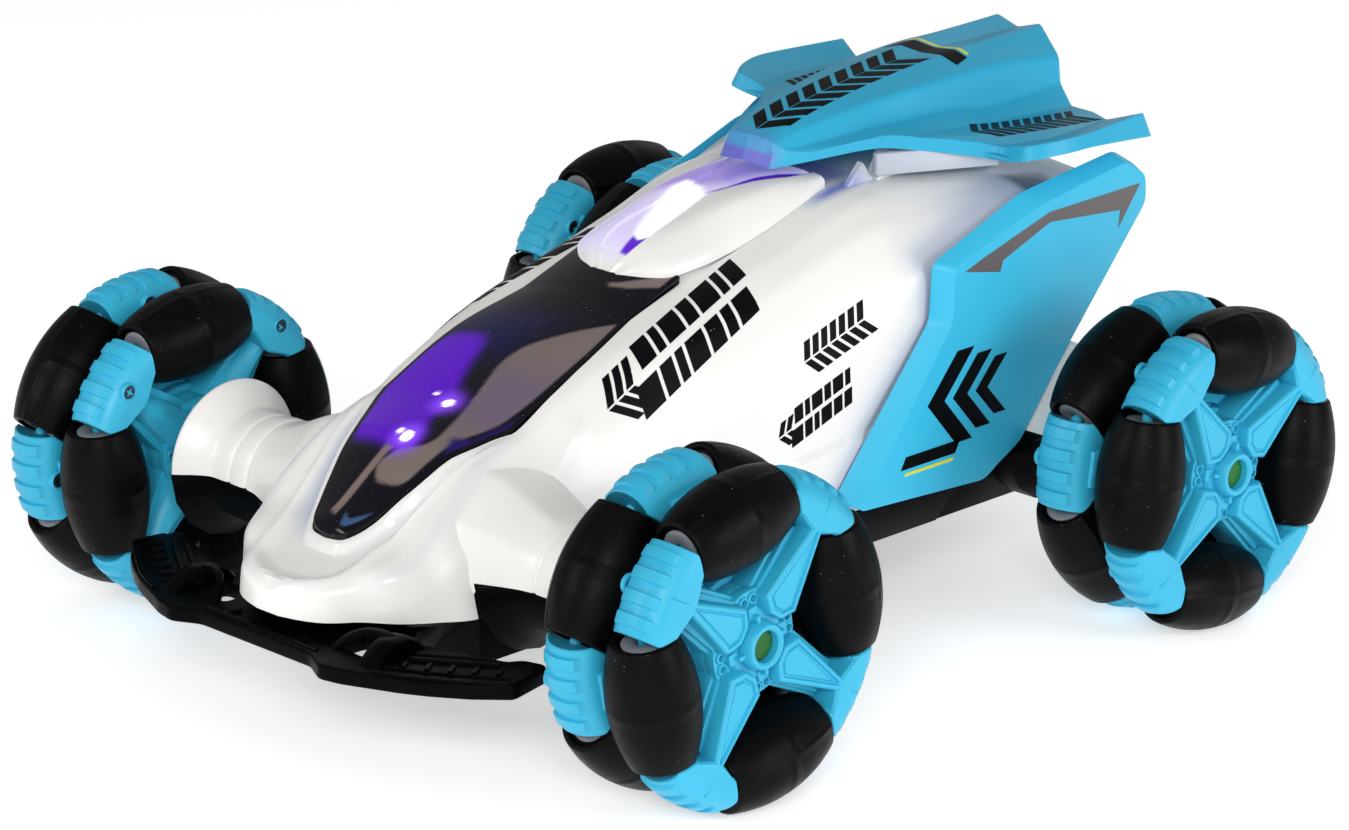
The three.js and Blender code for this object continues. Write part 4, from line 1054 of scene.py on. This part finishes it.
# ---- Windshield ---------------------------------------------------------------------------
def windshield():
    """A crowned shell that follows the opening in the body."""
    edge = GLASS_HALF[np.argsort(GLASS_HALF[:, 1], kind="stable")]
    edge = edge[np.concatenate([[True], np.diff(edge[:, 1]) > 0.15])]
    stations = np.arange(edge[0, 1], edge[-1, 1], 0.8)
    edge = np.stack([np.interp(stations, edge[:, 1], edge[:, k]) for k in range(3)], -1)
    across = np.sin(np.linspace(-1, 1, 81) * math.pi / 2)
    rings = []
    for x, y, z in edge:
        x = max(x, 0.6)
        crown = 3.2 * min(1.0, x / 18)
        top = [(s * x, y, z + crown * (1 - s * s)) for s in across]
        under = [(s * x * 0.985, y, z + crown * (1 - s * s) - 1.9) for s in across[::-2]]
        rings.append(top + under)
    return boolean(lofted(rings), [lofted(cover_rings(40, 31, grow=0.3, floor=4))])


def zone(points, outline, soft):
    """1 inside an outline and 0 outside, blending over a width of soft."""
    outline = np.array(outline, float)
    closed = np.concatenate([outline, outline[:1]])
    d, _ = line_distance(points, closed)
    return ease(0.5 + np.where(inside(points, outline), d, -d) / soft)


VIOLET_GLOW = [
    (-16.2, -108.2), (-22.6, -96.5), (-26, -84), (-26, -72), (-21, -64.5), (-7.5, -64.9),
    (-3.7, -76.4), (1.7, -86.1), (3.5, -97), (7.9, -105.6), (1.8, -109),
]
# Outlines of the painted reflections and the painted glint on the glass.
NEAR_SIDE_REFLECTION = [
    (3.9, -117.7), (0.4, -113.9), (3.5, -108.3), (11.2, -104.1), (9.6, -93.6), (6.5, -81.5),
    (4.2, -72.3), (5.4, -65.3), (20.8, -41.5), (22, -46.5), (23, -63.7), (22.6, -79.5), (21, -89.4),
    (16.2, -98.6), (14.4, -107.3), (12.4, -115.7),
]
REAR_REFLECTION = [
    (5, -32.6), (8, -31), (12.6, -26.6), (17.8, -19), (19.4, -19), (18.8, -26), (12.5, -31.4),
    (7, -34),
]
TIP_REFLECTION_STREAK = [(1.4, -108.7), (-0.3, -128), (-3.3, -127.1), (-1.3, -108.4)]
TIP_GLINT = [(3.4, -130.2), (1.8, -125.9), (4.6, -127.1), (11, -121.5), (12.4, -122.1), (4.9, -130)]
LAMP_DOTS = [(2.3, -89.3, 1.5), (2.7, -104.7, 1.7), (-0.6, -104.0, 0.8), (-4.4, -87.3, 0.6)]


def windshield_tint(mesh):
    """What shows behind the windshield, painted reflections and a painted glint on it, and what
    glows in it, inside a dark rim.
    """
    paint_on = Paint(mesh, (8, 7, 18))
    lay, p = paint_on.lay, paint_on.points
    plan = p[:, :2]
    edge, _ = line_distance(to_right(plan), GLASS_HALF[:, :2])
    paint_on.within = ease((edge - 0.9) / 0.8)
    lay(zone(plan, [(-30, -78), (-30, -50), (8, -50), (6, -70), (-2, -76)], 22), (14, 10, 66))
    # Painted reflection: a brown-grey patch on the near side, with violet lamp light over part of
    # it.
    lay(zone(plan, rounded(NEAR_SIDE_REFLECTION, 5, 6), 1.2), (118, 106, 103))
    lay(0.6 * zone(plan, [(9, -76), (9, -92), (24, -92), (24, -70)], 26)
        * zone(plan, NEAR_SIDE_REFLECTION, 1.6), (96, 78, 128))
    lay(zone(plan, [(14, -99), (19, -96), (25, -80), (24, -92), (17, -106)], 3), (34, 14, 96))
    lay(zone(plan, rounded(VIOLET_GLOW, 5, 5), 5), (78, 2, 172), 0.38)
    for x, y, r in LAMP_DOTS[:2]:
        d = np.hypot(plan[:, 0] - x, plan[:, 1] - y)
        lay(0.85 * ease(1 - (d - r) / 7.5) ** 2, (122, 62, 226), 0.6)
    # Painted reflections: a brownish patch at the rear and a streak at the tip, then a painted blue
    # glint.
    lay(zone(plan, REAR_REFLECTION, 1.4), (122, 110, 108))
    lay(zone(plan, TIP_REFLECTION_STREAK, 1.2) * 0.9, (136, 120, 116))
    lay(zone(plan, TIP_GLINT, 1.0) * 0.8, (70, 104, 150))
    for x, y, r in LAMP_DOTS:
        d = np.hypot(plan[:, 0] - x, plan[:, 1] - y)
        lay(ease((r + 0.4 - d) / 0.8), (255, 250, 255), 1.1)
    paint(mesh, "tint", paint_on.colour)
    paint(mesh, "glow", paint_on.glow)


glass = windshield()
windshield_tint(glass)
piece("look_windshield", glass, smoked_plastic, "chassis", ["windshield"])


# ---- Light cover --------------------------------------------------------------------------
LAMP_EDGE = [
    (-29, 2), (-26.3, 3.4), (-25, 5.4), (-21.9, 6.3), (-17.7, 6.9), (-10.4, 6.6), (-2.6, 5.8),
    (5.5, 4.9), (12.6, 5.9), (21.9, 8.2), (30.7, 12), (39, 13.4), (42, 13.4),
]
LAMP_CORE = [
    (2.9, -19.9), (0.5, -16.2), (-2, -10.6), (-5.3, -2), (-8.2, 6.3), (-7.8, 11.2), (-1.7, 10.5),
    (3.5, 6.9), (5, -2.1), (5.8, -10), (6.2, -17.3), (5.4, -20.2),
]
LAMP_SLOT = [
    (2, -24.9), (1.8, -22.3), (1.4, -18.8), (4.1, -19.8), (6.4, -17.8), (6, -21.9), (4.6, -25.1),
]
LAMP_DEEP = [
    (2.7, 7.7), (4.5, 15), (5.2, 25), (7.6, 31.7), (13.4, 39.3), (11.2, 31), (7.6, 22.1),
    (5.4, 12.8),
]
COVER_RECESS = [
    (13.6, -0.7, 115.3), (13.6, 4.7, 116.8), (15, 12.9, 117.2), (17.2, 24, 117),
    (18.8, 28.4, 116.3), (19.8, 31, 114.4),
]


COVER_WALL = 1.8


def lamp_half_width(y):
    edge = np.array(LAMP_EDGE)
    return np.interp(y, edge[:, 0], edge[:, 1])


def light_cover():
    rings = cover_rings(130, 121)
    p = rings.reshape(-1, 3)
    # The lamp's strip lies a little lower than the sides, and a line runs round each side's recess.
    p[:, 2] -= 0.55 * ease((lamp_half_width(p[:, 1]) - np.abs(p[:, 0])) / 0.7)
    d, t = line_distance(to_right(p), smooth_line(COVER_RECESS, 60))
    sink = 0.4 * ease(1 - d / 0.9) * ease(t / 0.12)
    p[:, 0] -= np.sign(p[:, 0]) * sink * 0.7
    p[:, 2] -= sink * 0.7
    inner = cover_rings(40, 41, grow=-COVER_WALL, floor=8)
    inner[0, :, 1] += COVER_WALL
    inner[-1, :, 1] -= COVER_WALL
    return boolean(lofted(p.reshape(rings.shape)), [lofted(inner)])


def cover_tint(mesh):
    """The lit strip and core of the lamp; the paint stops at the cover's shoulder."""
    paint_on = Paint(mesh, (226, 216, 252))
    lay, p = paint_on.lay, paint_on.points
    x, y, z = p.T
    plan = p[:, :2]
    strip = ease((lamp_half_width(y) + 0.2 - x) / 0.8)
    lay(strip * 0.8 * ease((y + 30) / 9), (214, 202, 252), 0.3)
    lay(strip * zone(plan, [(-14, 2), (-14, 34), (4, 34), (3, 18), (-3, 11)], 9) * 0.85,
        (150, 124, 222), 0.25)
    lay(zone(plan, LAMP_CORE, 4), (246, 250, 255), 0.75)
    lay(zone(plan, [(-3, -8), (0, -14), (4, -10), (2, -3)], 6) * 0.7, (206, 236, 255), 0.75)
    lay(zone(plan, LAMP_SLOT, 1.2), (84, 6, 186), 0.45)
    lay(zone(plan, LAMP_DEEP, 1.4), (76, 0, 176), 0.45)
    upper = ease((z - (104.5 + (y + 29) * 0.1)) / 1.5)
    paint_on.colour[:, 3] *= upper
    paint(mesh, "tint", paint_on.colour)
    paint_on.glow[:, :3] *= upper[:, None]
    paint(mesh, "glow", paint_on.glow)


cover = light_cover()
cover_tint(cover)
piece("look_light_cover", cover, lamp_plastic, "chassis", ["light_cover"])


# ---- Side panels --------------------------------------------------------------------------
def side_panel():
    """A blue panel: a flat face inside a wide chamfered band, hollow behind."""
    def layer(outline, x):
        return [(x, y, z) for y, z in outline]

    front = lofted([layer(rounded(PANEL_BAND, 2.4, 5), PANEL_INNER_X),
                    layer(rounded(PANEL_FACE, 2.4, 5), PANEL_OUTER_X)])
    back = lofted([layer(outline_offset(PANEL_BAND, -3.0), PANEL_INNER_X - 1),
                   layer(outline_offset(PANEL_FACE, -3.0), PANEL_OUTER_X - 2.2)])
    return boolean(bevelled(front, 0.7, 3, 10), [back])


panel = side_panel()
# Painted light: the panels are painted a little brighter than the wing, as the lit side of the same
# blue plastic.
paint(panel, "tint", np.tile((*rgb(58, 186, 225)[:3], 0.8), (len(panel.vertices), 1)))
piece("look_side_panel_left", panel, blue_plastic, "chassis", ["side_panel_left"])
piece("look_side_panel_right", moved(panel, MIRROR_X), blue_plastic, "chassis",
      ["side_panel_right"])


# ---- Rear wing ----------------------------------------------------------------------------
WING_LINES = [
    [(0, 28, 131.6), (0, 42, 135.4), (0, 60, 138.6), (0, 84, 141.4), (0, 111, 142.4),
      (0, 141.5, 142.2)],
    [(6, 28.3, 131.2), (6.5, 42, 135.2), (7, 60, 138.4), (7.5, 84, 141.4), (8, 111, 143.6),
      (8.3, 141.8, 144.6)],
    [(8.6, 29, 130.4), (11, 42, 133.6), (14, 60, 136.6), (17, 80, 138.6), (19.2, 111, 139.8),
      (19.5, 137.4, 137.6)],
    [(11.5, 31, 128.4), (14.5, 44, 129.6), (17.5, 60, 131), (19.8, 84, 131.4), (21.2, 108, 129.4),
      (21.2, 136.4, 130.2)],
    [(15.5, 36, 127.6), (20.5, 47, 129.2), (25.2, 60, 130), (29, 82, 128.6), (28.6, 104, 126.8),
      (28.6, 133, 125.4)],
    [(22, 49, 129.8), (26, 57.5, 130.6), (33, 68, 129.4), (39, 85, 128.2), (40.8, 104, 127.4),
      (40.8, 128, 127)],
    [(24.8, 56, 130.6), (31, 66, 129.6), (39.8, 77, 127.8), (46.6, 84.4, 127), (50.5, 100, 126.9),
      (48.5, 125, 126.8)],
    [(26, 57.6, 130.6), (36.5, 72, 128.6), (46.8, 82.6, 126.8), (55, 81.5, 128.6), (61.8, 98, 130),
      (58.2, 129.3, 129.9)],
]
LEADING_RIM = [
    (0, 24.8, 124.8), (6, 25.4, 124), (9.7, 26.4, 123.5), (12, 29.6, 124.2), (15.2, 34.6, 125),
    (21.4, 48, 126.7), (24.2, 54, 127.1), (25.6, 56.2, 127.2),
]
TIP_RIM = [
    (25.6, 56.2, 127.2), (36, 70.5, 124.9), (46.6, 81.1, 122.8), (55.9, 79.8, 124.6),
    (63, 97, 126.2), (59.5, 131.8, 122.8),
]
WING_WALL = 2.4


WING_MARKS = np.array([0, 7, 11, 14, 19.5, 28, 35, 42]) / 42


def wing_surface(lines, along, across):
    """A dense grid through the wing's lines: smooth along them, folded across them, both sides."""
    dense = np.array([pchip(np.arange(6), line, np.linspace(0, 5, along)) for line in lines])
    marks = np.concatenate([-WING_MARKS[:0:-1], WING_MARKS])
    at = np.linspace(-1, 1, across)
    rows = []
    for station in range(along):
        full = both_halves(dense[:, station])
        row = np.stack([np.interp(at, marks, full[:, k]) for k in range(3)], -1)
        row[1:-1] = row[:-2] * 0.25 + row[1:-1] * 0.5 + row[2:] * 0.25
        rows.append(row)
    return np.array(rows).reshape(-1, 3)


def wing():
    """The folded wing: its top and under sheets, joined by a skirt round the rim."""
    top_lines = np.array(WING_LINES, float)
    under_lines = top_lines - (0, 0, WING_WALL)
    under_lines[2:4, 1:, 0] -= 1.6
    under_lines[:, 0] = LEADING_RIM
    under_lines[-1] = TIP_RIM
    along, across, skirt = 91, 201, 7
    top, under = (wing_surface(lines, along, across) for lines in (top_lines, under_lines))
    count = along * across
    grid = grid_faces(along, across)
    faces = grid + [[count + i for i in f[::-1]] for f in grid]
    rim = list(range(across)) + [r * across + across - 1 for r in range(1, along)]
    rim += [(along - 1) * across + c for c in range(across - 2, -1, -1)]
    rim += [r * across for r in range(along - 2, 0, -1)]
    n = len(rim)
    points, rows = np.concatenate([top, under]), [rim]
    for t in np.arange(1, skirt) / skirt:
        rows.append(list(range(len(points), len(points) + n)))
        points = np.concatenate([points, top[rim] * (1 - t) + under[rim] * t])
    rows.append([count + i for i in rim])
    for above, below in zip(rows, rows[1:]):
        faces += [[above[i], above[(i + 1) % n], below[(i + 1) % n], below[i]] for i in range(n)]
    return bevelled(mesh_of(points, faces), 0.5)


def wing_light_and_shade(mesh):
    """Painted light and shade: violet light from the lamp on the leading edge, and painted shade, a
    slightly deeper blue, elsewhere.
    """
    p = points_of(mesh)
    x, y, z = p.T
    front = ease((30.2 - y) / 2) * ease((128.6 - z) / 1.4) * ease((11 - np.abs(x)) / 2.5)
    spill = ease((33 - y) / 5) * ease((13 - np.abs(x)) / 5) * 0.34
    violet = np.maximum(0.85 * front, spill)[:, None]
    shaded_blue, lamp_violet = np.array([rgb(42, 164, 204), rgb(112, 84, 196)])[:, :3]
    colour = shaded_blue * (1 - violet) + lamp_violet * violet
    paint(mesh, "tint", np.append(colour, 0.7 + 0.3 * violet, 1))


rear_wing = wing()
wing_light_and_shade(rear_wing)
piece("look_rear_wing", rear_wing, blue_plastic, "chassis", ["rear_wing"], sharp=30)


# ---- Front splitter -----------------------------------------------------------------------
SPLITTER_Z, SPLITTER_TOP, SPLITTER_REAR_Y = 28.3, 32.6, -120.6
SPLITTER_HALF = [
    (0, -156.8), (21.6, -156.8), (29.4, -160.9), (36, -159.4), (43.9, -156), (51.6, -152.7),
    (58.6, -148.8), (67.1, -142.8), (75.4, -134.8), (72.4, -120.8), (70, -118.8), (63.8, -120.6),
    (61.8, -124.4), (47.4, -128.4), (36, -132.4), (30, -130.5), (26, -127), (24, SPLITTER_REAR_Y),
    (0, SPLITTER_REAR_Y),
]
SPLITTER_SLOT = [(22.2, -147.6), (33.5, -148.5), (33, -138), (22.6, -137.6)]


def swept(line, section):
    """A solid with one section of (across, up) points along a line."""
    tangent = np.gradient(line, axis=0)
    tangent /= np.linalg.norm(tangent, axis=1, keepdims=True)
    across = np.cross(tangent, (0, 0, 1))
    across /= np.linalg.norm(across, axis=1, keepdims=True)
    over = np.cross(across, tangent)
    return lofted([[p + a * s + o * u for s, u in section] for p, a, o in zip(line, across, over)])


def rounded_bar(half_width, low, high):
    """A bar's section: flat below, rounded on top."""
    right = [(half_width, low), (half_width, high - 0.7), (half_width * 0.75, high - 0.15)]
    return [(-half_width, low), *right, (0, high), *[(-x, z) for x, z in right[:0:-1]]]


SPLITTER_FIELD = [
    (43.4, -150.8), (52, -146.6), (60, -141.8), (73.4, -132.2), (71, -122), (64.8, -122.4),
    (62.6, -126.2), (47.6, -130.4), (42, -131.8),
]
# Beside the slot an arched rail and a low wide hood, then the lip and two long ribs:
# (points, count, the bar's half width, foot and top).
SPLITTER_BARS = [
    ([(23.4, -150.5, 31.6), (24.8, -148, 34.2), (26.6, -145.8, 35.8), (29.6, -143.4, 36.8),
      (33.4, -142.2, 37), (37.2, -141.9, 36.6)], 30, (1.1, -1.2, 1.2)),
    ([(39.4, -153, 31.6), (38.8, -149.4, 34.4), (37.9, -144.6, 36.4), (37.3, -140, 36.2),
      (37.2, -136.4, 34.6), (37.2, -133.6, 31.4)], 30, (3.2, -2.0, 1.2)),
    ([(43, -154.4, 32.3), (52, -150.6, 32.3), (60, -145.6, 32.3), (68, -139.8, 32.3),
      (73.8, -134.4, 32.3), (72.4, -126, 32.3)], 40, (0.9, -1.0, 0.9)),
    ([(45.2, -142.8, 33), (54.5, -136.6, 33), (64.4, -129.6, 33)], 12, (0.8, -0.7, 1.3)),
    ([(43.9, -139.4, 33), (52.6, -133.6, 33), (60.4, -128.2, 33)], 12, (0.8, -0.7, 1.2)),
]
SHORT_RIBS = [
    (47.8, -148.2, 3.6), (53.4, -145.2, 4.2), (58.8, -142, 4.2), (64, -138.4, 4.2),
    (69, -134.6, 4.2),
]


def splitter():
    """The plate with its slots, the bars beside them and the ribbed fields at its ends."""
    slots = [rounded([(x * s, y) for x, y in SPLITTER_SLOT], 1.5) for s in (1, -1)]
    outline = rounded(closed_half(SPLITTER_HALF), 1.6)
    parts = [plate([outline, *slots], SPLITTER_Z, SPLITTER_TOP, 0.8, 3)]
    for points, count, section in SPLITTER_BARS:
        parts += on_both_sides(swept(smooth_line(points, count), rounded_bar(*section)))
    front_lip = smooth_line([(-22, -154.6, 32.3), (0, -154.4, 32.3), (22, -154.6, 32.3)], 12)
    parts.append(swept(front_lip, rounded_bar(1.0, -1.0, 0.9)))
    parts += on_both_sides(plate([rounded(SPLITTER_FIELD, 1.2)], 31.4, 33.2, 0.4))
    along = np.array((22.5, 14.2, 0)) / 26.6
    over = np.array((-along[1], along[0], 0))
    for x, y, reach in SHORT_RIBS:
        rib = np.array([(x, y, 33.0) + over * reach * t for t in (0, 0.5, 1)])
        parts += on_both_sides(swept(rib, rounded_bar(0.7, -0.6, 1.0)))
    parts += [block((x - 1, -152.5, 31.6), (x + 1, -149.6, 33.4)) for x in (-14, -5, 5, 14)]
    return gathered(parts)


piece("look_front_splitter", splitter(), black_plastic, "chassis",
      ["front_splitter"])


# ---- Chassis and the small parts under it -------------------------------------------------
def eased_node(node, width):
    """A copy of a CAD node with its edges rounded, in metres."""
    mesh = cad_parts[node].data.copy()
    with editing(mesh) as bm:
        bmesh.ops.remove_doubles(bm, verts=bm.verts, dist=1e-6)
        bmesh.ops.dissolve_limit(bm, angle_limit=math.radians(0.5), verts=bm.verts, edges=bm.edges)
    return bevelled(mesh, width, 2, 25)


# The tray's sides run on below the panels as far as the rear arms.
SILL_ENDS, SILL_SECTION = (50, 90), [(40, 23.6), (49.9, 23.6), (54.9, 36.2), (40, 36.2)]
sill = bevelled(lofted([[(x, y, z) for x, z in SILL_SECTION] for y in SILL_ENDS]), 0.4)
sills = [moved(m, TO_FRAME) for m in on_both_sides(sill)]
tray = gathered([eased_node("chassis_tray", 0.0004), *sills])
piece("look_chassis_tray", tray, black_plastic, "chassis", ["chassis_tray"],
      Matrix())
for node in ("battery_cover", "power_switch"):
    piece(f"look_{node}", eased_node(node, 0.0003), black_plastic, node, [node],
          Matrix())

UNDER_SCREWS = [
    (36, -60), (-36, -60), (46, 20), (-46, 20), (44, 58), (-44, 58), (30, 112), (-30, 112),
    (20, -112), (-20, -112),
]
ring, head = cross_screw()
rings, heads = [], []
tray_tree = surface_of(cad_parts["chassis_tray"].data)
for x, y in UNDER_SCREWS:
    hit = tray_tree.ray_cast(TO_FRAME @ Vector((x, y, -20)), Vector((0, 0, 1)))[0]
    place = Matrix.Translation(TO_FRAME.inverted() @ hit) @ Matrix.Rotation(math.pi / 2, 4, "Y")
    rings.append(moved(ring, place))
    heads.append(moved(head, place))
piece("look_under_screw_rings", gathered(rings), black_plastic, "chassis")
piece("look_under_screws", gathered(heads), screw_steel, "chassis")


# ---- Printed decals -----------------------------------------------------------------------
FILM_LIFT, FILM_THICKNESS = 0.05, 0.09


def cells_of(polygons, size):
    """Small faces that fill flat polygons, as a bmesh in the plane z = 0."""
    bm = bmesh.new()
    for polygon in polygons:
        bm.faces.new([bm.verts.new((u, v, 0)) for u, v in polygon])
    flat = np.array([p for polygon in polygons for p in polygon], float)
    for axis, normal in enumerate(np.eye(3)[:2]):
        for at in np.arange(flat[:, axis].min() + size / 2, flat[:, axis].max(), size):
            bmesh.ops.bisect_plane(bm, geom=bm.verts[:] + bm.edges[:] + bm.faces[:],
                                   plane_co=normal * at, plane_no=normal, dist=1e-5)
    return bm


def decal(name, polygons, place, material, both_sides=True, size=1.6):
    """A thin printed film: polygons in a plane, pressed on a surface against the plane's normal.

    The place gives the plane's origin, the way its first axis points, its normal and the surface.
    """
    origin, along, out, tree = Vector(place[0]), Vector(place[1]), Vector(place[2]), place[3]
    out.normalize()
    across = out.cross(along).normalized()
    along = across.cross(out)
    bm = cells_of(polygons, size)
    lost = []
    for vert in bm.verts:
        start = origin + along * vert.co.x + across * vert.co.y + out * 20
        hit, normal, _, _ = tree.ray_cast(start, -out, 60)
        if hit is None:
            lost.append(vert)
        else:
            vert.co = hit + normal * (FILM_LIFT if normal.dot(out) > 0 else -FILM_LIFT)
    bmesh.ops.delete(bm, geom=lost, context="VERTS")
    mesh = bpy.data.meshes.new(name)
    bm.to_mesh(mesh)
    bm.free()

    def add(holder):
        film = holder.modifiers.new("film", "SOLIDIFY")
        film.thickness, film.offset = FILM_THICKNESS, 0

    mesh = evaluated(mesh, add)
    if both_sides:
        piece(f"look_{name}_left", mesh, material, "chassis")
        piece(f"look_{name}_right", moved(mesh, MIRROR_X), material, "chassis")
    else:
        piece(f"look_{name}", mesh, material, "chassis")


def tread(length, height, count, gap, lead):
    """A tyre track: a row of arrowheads, each made of two slanted bars."""
    pitch = length / count
    width, half = pitch * (1 - gap), height / 2
    return [[(u, 0.25 * sign), (u + width, 0.25 * sign), (u + width + lead * half, half * sign),
             (u + lead * half, half * sign)] for u in np.arange(count) * pitch for sign in (1, -1)]


def slanted_bars(start, widths, low, high, gap, lean):
    """A row of slanted bars of the given widths, like a line of italic print."""
    made, u = [], start
    for width in widths:
        made.append([(u + lean * low, low), (u + width + lean * low, low),
                     (u + width + lean * high, high), (u + lean * high, high)])
        u += width + gap
    return made


def arrow(u, v, width, height, bar):
    """An arrowhead pointing to the front."""
    return [[(u, v), (u + bar, v), (u + width + bar, v + height * s), (u + width, v + height * s)]
            for s in (1, -1)]


# Places on the surfaces: (origin, along, out, surface).
shell_tree = surface_of(shell)
HOOD = ((35.2, -62.5, 79), (-0.072, 0.93, 0.37), (0.62, -0.28, 0.73), shell_tree)
SIDE_TOP = ((47.3, 0.6, 81.6), (0.1, 0.93, 0.36), (0.9, -0.2, 0.38), shell_tree)
SIDE_LOW = ((49.6, -11.6, 63.2), (0.06, 0.94, 0.34), (0.95, -0.15, 0.28), shell_tree)
PANEL = ((60, 0, 0), (0, 1, 0), (1, 0, 0), surface_of(panel))
wing_tree = surface_of(rear_wing)
WING_MIDDLE = ((0, 31, 140), (0, 1, 0), (0, 0, 1), wing_tree)
WING_END = ((34.2, 83, 130), (0.16, 1, 0), (0, 0, 1), wing_tree)
WING_ACROSS = ((0, 0, 140), (1, 0, 0), (0, 0, 1), wing_tree)

hood_marks = (tread(12, 14, 3, 0.3, 0.75)
              + slanted_bars(15, [6.5, 3.2, 7.5, 5, 8.5, 3.2, 6], 1.2, 8.4, 1.3, 0.45)
              + slanted_bars(11, [8.5, 5, 3.2, 7.5, 6, 4, 7.5], -8.6, -1.2, 1.3, 0.45))
side_marks = (tread(6, 7, 2, 0.3, 0.7)
              + slanted_bars(6.5, [3.4, 2, 4.2, 2.6, 4, 2], 0.6, 4.6, 0.8, 0.4)
              + slanted_bars(5, [4.6, 3, 2, 4.2, 3.4, 3], -4.8, -0.6, 0.8, 0.4))
panel_stripe = [
    [(52.2, 99.3), (67, 96.2), (68.2, 99.4), (60, 101.8)],
    [(60, 101.8), (68.2, 99.4), (87.9, 106.4), (87.7, 109.4)],
    [(87.7, 109.4), (87.9, 106.4), (118.5, 103.7), (127, 110)],
    [(118.5, 103.7), (117.9, 98.5), (127, 110)],
]
panel_mark = (arrow(38, 63.4, 12, 13.5, 7) + arrow(48.5, 63.4, 10, 11, 6)
              + arrow(58, 63.4, 8, 8.5, 5))
panel_bar = [[(27.5, 47), (50, 47), (52, 50.6), (29.5, 50.6)]]
panel_line = [[(29, 45), (49, 45), (49.5, 45.9), (29.5, 45.9)]]
wing_bar = [[(-14, 99), (14, 99), (12.5, 105), (-12.5, 105)]]
wing_line = [[(-11.5, 106), (11.5, 106), (11.2, 107.2), (-11.2, 107.2)]]

decal("hood_marks", hood_marks, HOOD, ink)
decal("side_tread", tread(24, 9.5, 7, 0.3, 0.6), SIDE_TOP, ink)
decal("side_marks", side_marks, SIDE_LOW, ink)
decal("panel_stripe", panel_stripe, PANEL, grey_ink, size=8)
decal("panel_mark", panel_mark, PANEL, ink, size=9)
decal("panel_bar", panel_bar, PANEL, ink, size=9)
decal("panel_bar_line", panel_line, PANEL, yellow_ink, size=9)
decal("wing_tread", tread(60, 14.5, 9, 0.3, 0.82), WING_MIDDLE, ink, both_sides=False)
decal("winglet_tread", tread(39, 13.5, 10, 0.3, 0.7), WING_END, ink)
decal("wing_bar", wing_bar, WING_ACROSS, ink, both_sides=False)
decal("wing_bar_line", wing_line, WING_ACROSS, yellow_ink, both_sides=False)


# ---- CAD nodes that keep their shape --------------------------------------------------------
CAD_LOOKS = {
    "circuit_board": board_lacquer, "battery_pack": shrink_wrap,
    **{f"gear_motor_{wheel}": motor_casing for wheel in WHEELS},
}
for node, material in CAD_LOOKS.items():
    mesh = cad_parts[node].data
    mesh.materials.clear()
    mesh.materials.append(material)

# ---- Floor, light and camera ----------------------------------------------------------------
FLOOR_SIZE, FLOOR_GAP = 6, 0.0004
bpy.ops.mesh.primitive_plane_add(size=FLOOR_SIZE, location=(0, 0, -FLOOR_GAP))
floor = bpy.context.object
floor.name = "studio_floor"
n = Nodes("pale_studio_floor")
n.set(Base_Color=n.mix(n.noise(3, 2.0), rgb(250, 250, 251), rgb(254, 254, 254)), Roughness=0.7,
      Emission_Color=(1, 1, 1, 1), Emission_Strength=0.5)
floor.data.materials.append(n.material)

world = bpy.data.worlds.new("studio")
scene.world = world
world.use_nodes = True
background = world.node_tree.nodes["Background"]
background.inputs["Color"].default_value = (1.0, 1.0, 1.0, 1)
background.inputs["Strength"].default_value = 0.32


def softbox(name, place, target, size, power, colour=(1, 1, 1)):
    light = bpy.data.lights.new(name, "AREA")
    light.shape, light.size, light.size_y = "RECTANGLE", *size
    light.energy, light.color = power, colour
    holder = bpy.data.objects.new(name, light)
    scene.collection.objects.link(holder)
    holder.location = place
    holder.rotation_euler = (Vector(target) - Vector(place)).to_track_quat("-Z", "Y").to_euler()


MIDDLE = (0, 0, 0.05)
softbox("key", (0.98, -1.12, 0.8), MIDDLE, (0.7, 0.5), 12.4, (1, 0.985, 0.96))
softbox("fill", (1.35, 0.35, 0.45), MIDDLE, (0.6, 0.6), 7.4, (0.97, 0.985, 1))
softbox("left", (-0.5, -1.3, 0.7), MIDDLE, (0.6, 0.4), 5)
softbox("rear", (-0.6, 1.3, 0.6), MIDDLE, (0.6, 0.5), 0.7)

# The camera's own axes and place, as fitted to the wheels and the body.
CAMERA_RIGHT = Vector((0.71257945, 0.70154304, 0.00823947))
CAMERA_UP = Vector((-0.22964697, 0.22213049, 0.94758657))
CAMERA_PLACE, CAMERA_LENS, SENSOR_WIDTH = (976.03, -997.66, 525.75), 140.48, 36
camera = bpy.data.objects.new("camera", bpy.data.cameras.new("camera"))
scene.collection.objects.link(camera)
view = Matrix((CAMERA_RIGHT, CAMERA_UP, CAMERA_RIGHT.cross(CAMERA_UP))).transposed().to_4x4()
view.translation = TO_FRAME @ Vector(CAMERA_PLACE)
camera.matrix_world = view
camera.data.sensor_width, camera.data.lens = SENSOR_WIDTH, CAMERA_LENS
camera.data.clip_start, camera.data.clip_end = 0.05, 20
scene.camera = camera
scene.view_settings.view_transform = "Standard"
